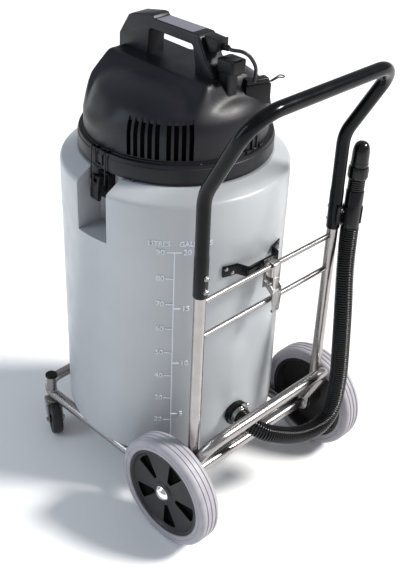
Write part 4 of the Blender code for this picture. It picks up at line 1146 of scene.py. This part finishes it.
def toggle():
    """Over-centre latch: base on the bracket, lever, and the hooked strap over the upper rod."""
    x = TOGGLE_X
    back = 0.2578
    pin_y, pin_z = TOGGLE_PIVOT
    parts = [bevelled(box_mesh((x - 0.013, back, 0.536), (x + 0.013, back + 0.002, 0.6)), 0.0007, 2)]
    for centre in (x - 0.01, x + 0.01):
        ear = [(back + 0.001, pin_z - 0.0065), (pin_y, pin_z - 0.0055)]
        ear += arc((pin_y, pin_z), 0.0042, -70, 70, 8) + [(pin_y - 0.004, pin_z + 0.0058),
            (back + 0.001, pin_z + 0.0062)]
        parts.append(prism_mesh(ear, 0.001, IN_YZ, centre))
    for z in (0.5955, 0.556):
        parts.append(screw_mesh((x, back + 0.0018, z), (0, 1, 0), 0.0024, 0.0018, 16))
    pin = lathe_mesh([(0, -0.0147), (0.0017, -0.0147), (0.002, -0.0143), (0.002, 0.0143),
        (0.0017, 0.0147), (0, 0.0147)], False, 20, lie_at((x, pin_y, pin_z), (1, 0, 0)))
    piece("toggle_base_sheet", joined([*parts, pin]), "zinc_plate", "trolley", ["toggle_base"])
    tip = 0.487
    plate = [(x - 0.0137, 0.5335), (x + 0.0137, 0.5335), (x + 0.0122, 0.506), (x + 0.01, tip),
        (x - 0.01, tip), (x - 0.0122, 0.506)]
    mesh = prism_mesh(plate, 0.0009, None, 0.0)
    mesh.transform(Matrix(((1, 0, 0, 0), (0, 0, 1, 0.2869), (0, 1, 0, 0), (0, 0, 0, 1))))
    parts = [bevelled(mesh, 0.0005, 2)]
    for centre in (x - 0.0127, x + 0.0127):
        cheek = [(pin_y - 0.005, pin_z - 0.004), (pin_y - 0.0042, pin_z + 0.005),
            (pin_y + 0.006, pin_z + 0.0058)]
        cheek += [(0.287, pin_z - 0.002), (0.2876, 0.52), (0.2862, 0.512), (0.2852, 0.528)]
        parts.append(prism_mesh(cheek, 0.001, IN_YZ, centre))
    curl = [p for p in arc((0.285, tip + 0.0022), 0.0024, 10, -200, 12)]
    parts.append(prism_mesh(strip_outline(curl, 0.0013), 0.0098, IN_YZ, x))
    rib = box_mesh((x - 0.005, 0.2874, 0.495), (x + 0.005, 0.2882, 0.528))
    parts.append(bevelled(rib, 0.0003, 2))
    piece("toggle_lever_sheet", joined(parts), "zinc_plate", "toggle_lever", ["toggle_lever"])
    rod_top = RODS["upper_rod"] + ROD_R
    hook_y, hook_z = TOGGLE_HOOK
    line = [(hook_y, hook_z - 0.004, 0.0), (hook_y, rod_top + 0.0016, 0.0),
        (UPRIGHT_Y - ROD_R - 0.001, rod_top + 0.0016, 0.0)]
    line = [(p.x, p.y) for p in rounded(line, [0.0045], 6)]
    strap = prism_mesh(strip_outline(line, 0.002), 0.01, IN_YZ, x)
    swage = box_mesh((x - 0.01, hook_y + 0.0006, 0.564), (x + 0.01, hook_y + 0.0016, 0.5665))
    piece("toggle_strap_sheet", joined([bevelled(strap, 0.0005, 2), swage]), "steel_z", "toggle_strap",
        ["toggle_strap"])


# ---- side clips ----
CLIP_Y = -0.005
CLIP_PIVOT = (0.2035, 0.748)
CLIP_HOOK = (0.2035, 0.739)
WIRE_R = 0.0015
RING_R = 0.1986
RING_TOP = 0.8052


def mirrored(mesh, side):
    if side < 0:
        mesh.transform(Matrix.Diagonal((-1.0, 1.0, 1.0, 1.0)))
        mesh.flip_normals()
    return mesh


def side_clip(side):
    """Base in the drum's recess, lever with finger ribs, and the wire bail over the head's ring."""
    x, z = CLIP_PIVOT
    base = bevelled(box_mesh((0.1723, CLIP_Y - 0.016, 0.7), (0.19, CLIP_Y + 0.016, 0.756)), 0.0016, 3)
    tongue = [(x - 0.018, z - 0.004), (x, z - 0.004)] + arc((x, z), 0.004, -75.0, 75.0, 10)
    tongue += [(x, z + 0.004), (x - 0.018, z + 0.004)]
    ear = prism_mesh(tongue, 0.004, IN_XZ, -CLIP_Y)
    screws = [screw_mesh((0.1898, CLIP_Y + d, 0.708), (1, 0, 0), 0.0026, 0.0016, 16) for d in (-0.0105,
        0.0105)]
    name = side_name("clip_base", side)
    piece(name + "_moulding", mirrored(joined([base, ear]), side), "satin_black", "trolley", [name])
    piece(side_name("clip_screws", side), mirrored(joined(screws), side), "zinc_plate")
    outline = [(x - 0.0065, z), (x - 0.0046, z - 0.0046), (x - 0.004, z - 0.019),
        (x - 0.001, z - 0.027)]
    outline += [(x + 0.001, z - 0.04), (x + 0.0035, z - 0.045), (x + 0.0085, z - 0.0445),
        (x + 0.0105, z - 0.04)]
    outline += [(x + 0.01, z - 0.025), (x + 0.007, z - 0.006), (x + 0.0065, z),
        (x + 0.0046, z + 0.0046)]
    outline += [(x, z + 0.0065), (x - 0.0046, z + 0.0046)]
    lever = prism_mesh(outline, 0.0116, IN_XZ, -CLIP_Y)
    slot = box_mesh((x - 0.02, CLIP_Y - 0.0046, z - 0.0075), (x + 0.02, CLIP_Y + 0.0046, z + 0.02))
    parts = [bevelled(combined(lever, slot), 0.0008, 2)]
    for row in range(3):
        low = z - 0.0285 - row * 0.0045
        parts.append(bevelled(box_mesh((x + 0.0085, CLIP_Y - 0.0085, low),
            (x + 0.0108, CLIP_Y + 0.0085, low + 0.0016)), 0.0004, 1))
    name = side_name("clip_lever", side)
    piece(name + "_moulding", mirrored(joined(parts), side), "satin_black", name, [name])
    name = side_name("clip_wire", side)
    piece(name + "_bail", sweep_mesh(bail_path(side), WIRE_R, 12), "dark_wire", name, [name], 60.0)


def bail_path(side):
    """Two hooks side by side over the ring, joined across the middle and ending at the lever's sides."""
    out_x = RING_R + 0.0005 + WIRE_R
    in_x = 0.189
    top = RING_TOP + 0.0003 + WIRE_R
    foot = CLIP_HOOK[1]
    corners = []
    for direction in (-1, 1):
        outer = CLIP_Y + direction * 0.0205
        inner = CLIP_Y + direction * 0.0095
        hook = [(CLIP_HOOK[0], outer - direction * 0.0086, foot), (CLIP_HOOK[0], outer, foot),
            (out_x, outer, top)]
        hook += [(in_x, outer, top), (in_x, inner, top), (out_x, inner, top), (out_x, inner, 0.776)]
        corners.append(hook)
    whole = corners[0] + corners[1][::-1]
    whole = [(side * x, y, z) for x, y, z in whole]
    return rounded(whole, [0.003] * (len(whole) - 2), 5)


# ---- head ----
COVER_R = 0.1864
COVER_BOTTOM = 0.8055
COVER_WALL = 0.004
DOME = [(0.0, 0.93), (0.05, 0.9285), (0.09, 0.924), (0.13, 0.915), (0.154, 0.904), (0.17, 0.892),
    (0.18, 0.878), (0.185, 0.867), (COVER_R, 0.856)]
LOBE_HALF = 0.056
LOBE_TAPER = 0.031
LOBE_FRONT = -0.132
LOBE_BACK = 0.132
LOBE_TOP = 0.938
LOBE_EASE = 0.003
FRONT_DOME = [(0.0, 0.93), (0.05, 0.9285), (0.09, 0.924), (0.12, 0.917), (0.14, 0.909), (0.15, 0.903)]
FRONT_DOME += [(0.16, 0.893), (0.17, 0.8745), (0.18, 0.853), (COVER_R, 0.841)]
DOME_CURVE = smooth_route([(r, z, 0.0) for r, z in DOME], 0.002)
FRONT_CURVE = smooth_route([(r, z, 0.0) for r, z in FRONT_DOME], 0.002)
FRONT_START = 0.22
FRONT_SPAN = 0.55
LOUVRES = ((55.1, 5), (35.4, 4))
LOUVRE_STEP = 4.36
LOUVRE_HALF = 0.0044
LOUVRE_Z = (0.811, 0.89)
GRIP_HALF = 0.022
ANCHOR_XY = (-0.06, 0.151)
ANCHOR_TURN = math.radians(-20.0)
ROCKER_AT = (0.0, 0.15, 0.9785)


def head_ring():
    """Seat ring of the head, with a ledge under the cover and small ribs down to the drum's top."""
    profile = [(0.1568, 0.742), (0.1568, 0.7658), (0.195, 0.7658), (0.1972, 0.7668), (0.1984, 0.769),
        (RING_R, 0.772)]
    profile += [(RING_R, 0.7958), (0.1982, 0.7972), (0.1972, 0.798), (0.1966, 0.7992), (0.1966, 0.803),
        (0.1958, 0.8046)]
    profile += [(0.1942, RING_TOP), (0.176, RING_TOP), (0.176, 0.7755), (0.153, 0.7755), (0.153, 0.742)]
    parts = [lathe_mesh(profile, True, 160)]
    for angle in (68.0, -68.0, 160.0, -160.0):
        spin = Matrix.Rotation(math.radians(-angle), 4, "Z")
        parts.append(bevelled(box_mesh((-0.0016, 0.193, 0.7636), (0.0016, 0.1985, 0.77), spin), 0.0005,
            1))
    piece("head_ring_moulding", joined(parts), "black_plastic", "trolley", ["head_ring"])


def soft_max(values, blend):
    """Largest of several heights, eased over the blend where they cross."""
    values = np.array(values)
    top = values.max(axis=0)
    return top + blend * np.log(np.exp((values - top) / blend).sum(axis=0))


def curve_height(curve, r):
    """Height of a dome's curve at a distance from the drum's axis."""
    return float(np.interp(r, [p.x for p in curve], [p.y for p in curve]))


def cover_height(x, y):
    """Height of the cover's skin: a shallow dome, lower at the front, with a long tapered lobe under the grip."""
    r = math.hypot(x, y)
    dome = curve_height(DOME_CURVE, r)
    share = min(1.0, max(0.0, (FRONT_START - y / max(r, 0.001)) / FRONT_SPAN))
    dome += (curve_height(FRONT_CURVE, r) - dome) * share * share * (3.0 - 2.0 * share)
    aside = max(0.0, abs(x) - LOBE_HALF + LOBE_TAPER * y)
    beyond = max(0.0, LOBE_FRONT - y, y - LOBE_BACK)
    lobe = LOBE_TOP - math.hypot(aside, 2.0 * beyond, LOBE_EASE) + LOBE_EASE
    fade = 1.0 - max(0.0, (r - 0.172) / (COVER_R - 0.172)) ** 2
    return dome + (float(soft_max([dome, lobe], 0.0022)) - dome) * fade


def head_cover():
    """Cover's skin as rings of points from the middle out and down its wall, then its slots."""
    steps = 168
    reach = [COVER_R * (index / 46) for index in range(1, 47)]
    mesh = bmesh.new()
    skins = []
    for grow in (0.0, -COVER_WALL):
        rows = []
        for r in reach:
            row = []
            for step in range(steps):
                angle = 2 * math.pi * step / steps
                x = r * math.cos(angle)
                y = r * math.sin(angle)
                height = cover_height(x, y)
                share = (r + (grow if r > 0.15 else 0.0)) / r
                row.append(mesh.verts.new((x * share, y * share, height + grow)))
            rows.append(row)
        walls = (0.834, 0.82, COVER_BOTTOM + 0.003) if grow == 0.0 else (0.834, 0.82)
        for z in walls:
            row = []
            for step in range(steps):
                angle = 2 * math.pi * step / steps
                row.append(mesh.verts.new(((COVER_R + grow) * math.cos(angle),
                    (COVER_R + grow) * math.sin(angle), z)))
            rows.append(row)
        feet = [(0.003, 0.0024), (0.0034, 0.0)] if grow == 0.0 else [(grow, 0.0)]
        for out, up in feet:
            row = []
            for step in range(steps):
                angle = 2 * math.pi * step / steps
                r = COVER_R + out
                row.append(mesh.verts.new((r * math.cos(angle), r * math.sin(angle),
                    COVER_BOTTOM + up)))
            rows.append(row)
        tip = mesh.verts.new((0.0, 0.0, LOBE_TOP + grow))
        for step in range(steps):
            mesh.faces.new((tip, rows[0][step], rows[0][(step + 1) % steps]))
        for one, two in zip(rows, rows[1:]):
            for step in range(steps):
                after = (step + 1) % steps
                mesh.faces.new((one[step], one[after], two[after], two[step]))
        skins.append(rows[-1])
    for step in range(steps):
        after = (step + 1) % steps
        mesh.faces.new((skins[0][step], skins[0][after], skins[1][after], skins[1][step]))
    body = combined(settle(mesh), louvre_slots())
    piece("head_cover_moulding", body, "black_plastic", "trolley", ["head_cover"], 38.0)


def louvre_slots():
    """Upright slots with rounded ends: a group of five and one of four on each side."""
    slots = []
    tall = (LOUVRE_Z[1] - LOUVRE_Z[0]) / 2
    for side in (1, -1):
        for first, count in LOUVRES:
            for index in range(count):
                angle = math.radians(side * (first + LOUVRE_STEP * index))
                half = LOUVRE_HALF
                ring = softened([(-half, -tall), (half, -tall), (half, tall), (-half, tall)], 0.0018, 2)
                out = radial(angle, 1.0, 0.0)
                along = Vector((out.y, -out.x, 0.0))
                turn = Matrix((along, Vector((0, 0, 1)), -out)).transposed().to_4x4()
                slots.append(prism_mesh(ring, 0.012, Matrix.Translation(radial(angle, COVER_R,
                    LOUVRE_Z[0] + tall)) @ turn))
    return joined(slots)


def louvre_screen():
    """Painted shade: a near-black sheet behind the slots, standing in for the shadow inside the cover."""
    profile = [(0.174, 0.8075), (0.174, 0.87), (0.1655, 0.888), (0.163, 0.886), (0.1715, 0.869),
        (0.1715, 0.8075)]
    mesh = lathe_mesh(profile, True, 96)
    for vertex in mesh.vertices:
        vertex.co.z = min(vertex.co.z, cover_height(vertex.co.x, vertex.co.y) - 0.0085)
    piece("louvre_painted_shade", mesh, "pit_black")


def top_handle():
    """Carrying handle: long front post, grip bar and rear post, with the plain label on its top."""
    outline = [(-0.15, 0.89), (-0.148, 0.958), (-0.144, 0.964), (-0.12, 1.001), (-0.11, 1.006)]
    outline += [(-0.06, 1.016), (-0.05, 1.0155), (-0.046, 1.0095), (0.072, 1.011), (0.078, 1.007)]
    outline += [(0.098, 0.97), (0.11, 0.956), (0.118, 0.94), (0.118, 0.9), (0.068, 0.9)]
    outline += [(0.068, 0.95), (0.06, 0.985), (0.056, 0.9888), (-0.054, 0.9888), (-0.06, 0.984)]
    outline += [(-0.063, 0.95), (-0.063, 0.9)]
    parts = [bevelled(prism_mesh(outline, GRIP_HALF, IN_YZ), 0.0022, 3, 25.0)]
    for side in (1, -1):
        rib = strip_outline([(0.074, 1.004), (0.095, 0.966), (0.115, 0.947)], 0.0022)
        parts.append(prism_mesh(rib, 0.0008, IN_YZ, side * (GRIP_HALF + 0.0003)))
        seam = strip_outline([(-0.14, 0.962), (-0.048, 1.004)], 0.0016)
        parts.append(prism_mesh(seam, 0.0005, IN_YZ, side * (GRIP_HALF + 0.0001)))
    piece("top_handle_moulding", joined(parts), "black_plastic", "trolley", ["top_handle"])
    card = softened([(-0.018, -0.043), (0.018, -0.043), (0.018, 0.056), (-0.018, 0.056)], 0.002, 3)
    mesh = prism_mesh(card, 0.0003)
    lean = math.atan2(1.011 - 1.0095, 0.072 + 0.046)
    mesh.transform(Matrix.Translation((0.0, 0.0, 1.01045)) @ Matrix.Rotation(lean, 4, "X"))
    piece("grip_label", mesh, "label")


def mains_inlet():
    """Inlet box behind the grip with its cable gland, and the flexible lead down to the anchor."""
    outline = [(0.081, 1.011), (0.115, 1.0095), (0.115, 0.989), (0.106, 0.983), (0.095, 0.983)]
    body = bevelled(prism_mesh(outline, 0.015, IN_YZ), 0.0018, 3)
    lip = bevelled(prism_mesh([(0.1128, 1.0108), (0.1158, 1.0106), (0.1158, 0.988), (0.1128, 0.988)],
        0.0156, IN_YZ), 0.0006, 2)
    run = Vector((0.0, 0.02, -0.0015)).normalized()
    turn = lie_at((-0.004, 0.114, 0.9957), run)
    gland = [(0, 0), (0.0065, 0), (0.0065, 0.0062), (0.0056, 0.0068), (0.0052, 0.008), (0.006, 0.0088),
        (0.006, 0.012)]
    gland += [(0.0048, 0.015), (0.004, 0.0164), (0, 0.0164)]
    nut = [(0.0064, 0.0004), (0.0069, 0.001), (0.0069, 0.0056), (0.0064, 0.0062), (0, 0.0062),
        (0, 0.0004)]
    parts = [body, lip, lathe_mesh(gland, False, 28, turn), lathe_mesh(nut[::-1], False, 6, turn)]
    piece("mains_inlet_box", joined(parts), "satin_black", "trolley", ["mains_inlet"])
    route = [(-0.004, 0.1302, 0.9945), (-0.004, 0.132, 0.9943), (-0.0043, 0.137, 0.994),
        (-0.012, 0.156, 0.994)]
    route += [(-0.022, 0.166, 0.985), (-0.034, 0.1698, 0.965), (-0.0412, 0.165, 0.944),
        (-0.0412, 0.1628, 0.9312)]
    piece("flex_lead_sheath", sweep_mesh(smooth_route(route, 0.003), 0.0035, 20), "black_rubber",
        "trolley", ["flex_lead"], 60.0)


def switch_block():
    """Boss behind the rear post with upright ribs, and the rocker let into its top."""
    ring = softened([(-0.02, 0.12), (0.02, 0.12), (0.02, 0.162), (-0.02, 0.162)], 0.007, 5)
    body = prism_mesh(ring, 0.0115, None, 0.9685)
    ring = softened([(-0.013, 0.119), (0.013, 0.119), (0.013, 0.148), (-0.013, 0.148)], 0.004, 3)
    stem = bevelled(prism_mesh(ring, 0.0295, None, 0.93), 0.001, 1)
    y, z = ROCKER_AT[1:]
    pocket = box_mesh((-0.009, y - 0.0098, z - 0.0105), (0.009, y + 0.0098, 0.99))
    body = bevelled(combined(body, pocket), 0.0011, 2, 40.0)
    ribs = []
    for index in range(4):
        at = 0.13 + 0.0075 * index
        for side in (1, -1):
            ribs.append(bevelled(box_mesh((side * 0.02 - 0.0006, at - 0.001, 0.9595),
                (side * 0.02 + 0.0006, at + 0.001, 0.9765)), 0.0003, 1))
    piece("switch_block_moulding", joined([body, stem, *ribs]), "satin_black", "trolley",
        ["switch_block"])
    rocker = [(-0.008, 0.001), (-0.008, 0.004), (-0.004, 0.003), (0.0, 0.0027), (0.004, 0.003),
        (0.008, 0.004), (0.008, 0.001), (0.0, -0.0045)]
    turn = Matrix.Translation(ROCKER_AT) @ Matrix.Rotation(math.radians(7.0), 4, "X") @ IN_YZ
    mesh = bevelled(prism_mesh(rocker, 0.008, turn), 0.0006, 2)
    piece("switch_rocker_key", mesh, "black_rubber", "switch_rocker", ["switch_rocker"])


def cable_anchor():
    """Block on the cover's rear shoulder that grips the lead, with a clamp bar, and a loop to hang it by."""
    place = Matrix.Translation((*ANCHOR_XY, 0.0)) @ Matrix.Rotation(ANCHOR_TURN, 4, "Z")
    body = bevelled(box_mesh((-0.028, -0.011, 0.88), (0.026, 0.011, 0.921)), 0.0016, 2)
    bar = bevelled(box_mesh((-0.024, -0.0095, 0.9205), (0.0245, 0.0095, 0.9314)), 0.0022, 3)
    whole = joined([body, bar])
    whole.transform(place)
    screws = [screw_mesh(place @ Vector((x, -0.0035, 0.9312)), (0, 0, 1), 0.0026, 0.0016,
        16) for x in (-0.018, 0.003)]
    piece("cable_anchor_block", whole, "satin_black", "trolley", ["cable_anchor"])
    piece("anchor_screws", joined(screws), "zinc_plate")
    turn = ANCHOR_TURN
    out = Vector((-math.cos(turn), -math.sin(turn), 0.0))
    side = Vector((out.y, -out.x, 0.0))
    root = Vector((*ANCHOR_XY, 0.921)) + out * 0.0278
    loop = []
    for index in range(13):
        angle = math.pi * (index / 12 - 0.5) * 1.72
        loop.append(root + out * (0.026 + 0.0065 * math.cos(angle)) + side * math.sin(angle) * 0.0065 + Vector((0, 0, 0.006)))
    start = root - side * 0.0018
    end = root + side * 0.0018
    line = [start, start + out * 0.006, *loop, end + out * 0.006, end]
    piece("cable_loop_cord", sweep_mesh(smooth_route(line, 0.002), 0.0013, 12), "black_rubber",
        "trolley", ["cable_loop"], 60.0)


def catch_block():
    """Catch at the head's rear: two ribs and a pad on the cover's wall, two blocks on the ring, and ring screws."""
    parts = []
    for degrees, low, high, wide in ((-6.0, 0.8085, 0.862, 0.0016), (-10.5, 0.8085, 0.858, 0.0016)):
        spin = Matrix.Rotation(math.radians(-degrees), 4, "Z")
        parts.append(bevelled(box_mesh((-wide, 0.184, low), (wide, 0.1905, high), spin), 0.0006, 2))
    spin = Matrix.Rotation(math.radians(8.2), 4, "Z")
    parts.append(bevelled(box_mesh((-0.0085, 0.185, 0.81), (0.0085, 0.188, 0.856), spin), 0.001, 2))
    for degrees in (-2.0, -14.5):
        spin = Matrix.Rotation(math.radians(-degrees), 4, "Z")
        parts.append(bevelled(box_mesh((-0.006, 0.188, 0.8056), (0.006, 0.1925, 0.811), spin), 0.0006,
            2))
    piece("catch_moulding", joined(parts), "black_plastic")
    screws = []
    for degrees, z in ((30.0, 0.8046), (-7.5, 0.81), (150.0, 0.8046), (-150.0, 0.8046)):
        spot = radial(math.radians(degrees), 0.1912, z)
        screws.append(screw_mesh(spot, (0, 0, 1), 0.0021, 0.0014, 16))
    piece("ring_screws", joined(screws), "zinc_plate")


# ---- nodes that keep their CAD shape ----
CARRIED = {
    "rim_seal": "black_rubber",
    "motor_plate": "black_plastic",
    "motor_can": "zinc_plate",
    "motor_rotor": "zinc_plate",
    "float_cage": "satin_black",
    "float_ball": "satin_black",
    "filter_bag": "filter_cloth",
}


def dress_carried():
    for name, look in CARRIED.items():
        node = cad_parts[name]
        for carried in node.material_slots:
            carried.link = "OBJECT"
            carried.material = LOOKS[look]


def build():
    drum_shell()
    drum_scale()
    drain_outlet()
    inlet_port()
    base_loop()
    rear_bar()
    axle()
    cross_rods()
    push_handle()
    hose_clip()
    for side in (1, -1):
        axle_plate(side)
        upright(side)
        wheel(side)
        caster(side)
        side_clip(side)
    drum_bracket()
    toggle()
    head_ring()
    head_cover()
    louvre_screen()
    top_handle()
    mains_inlet()
    switch_block()
    cable_anchor()
    catch_block()
    dress_carried()


camera()
studio()
floor()
hose_cap()
drain_hose([hose_cuff()])
build()
bpy.context.view_layer.update()
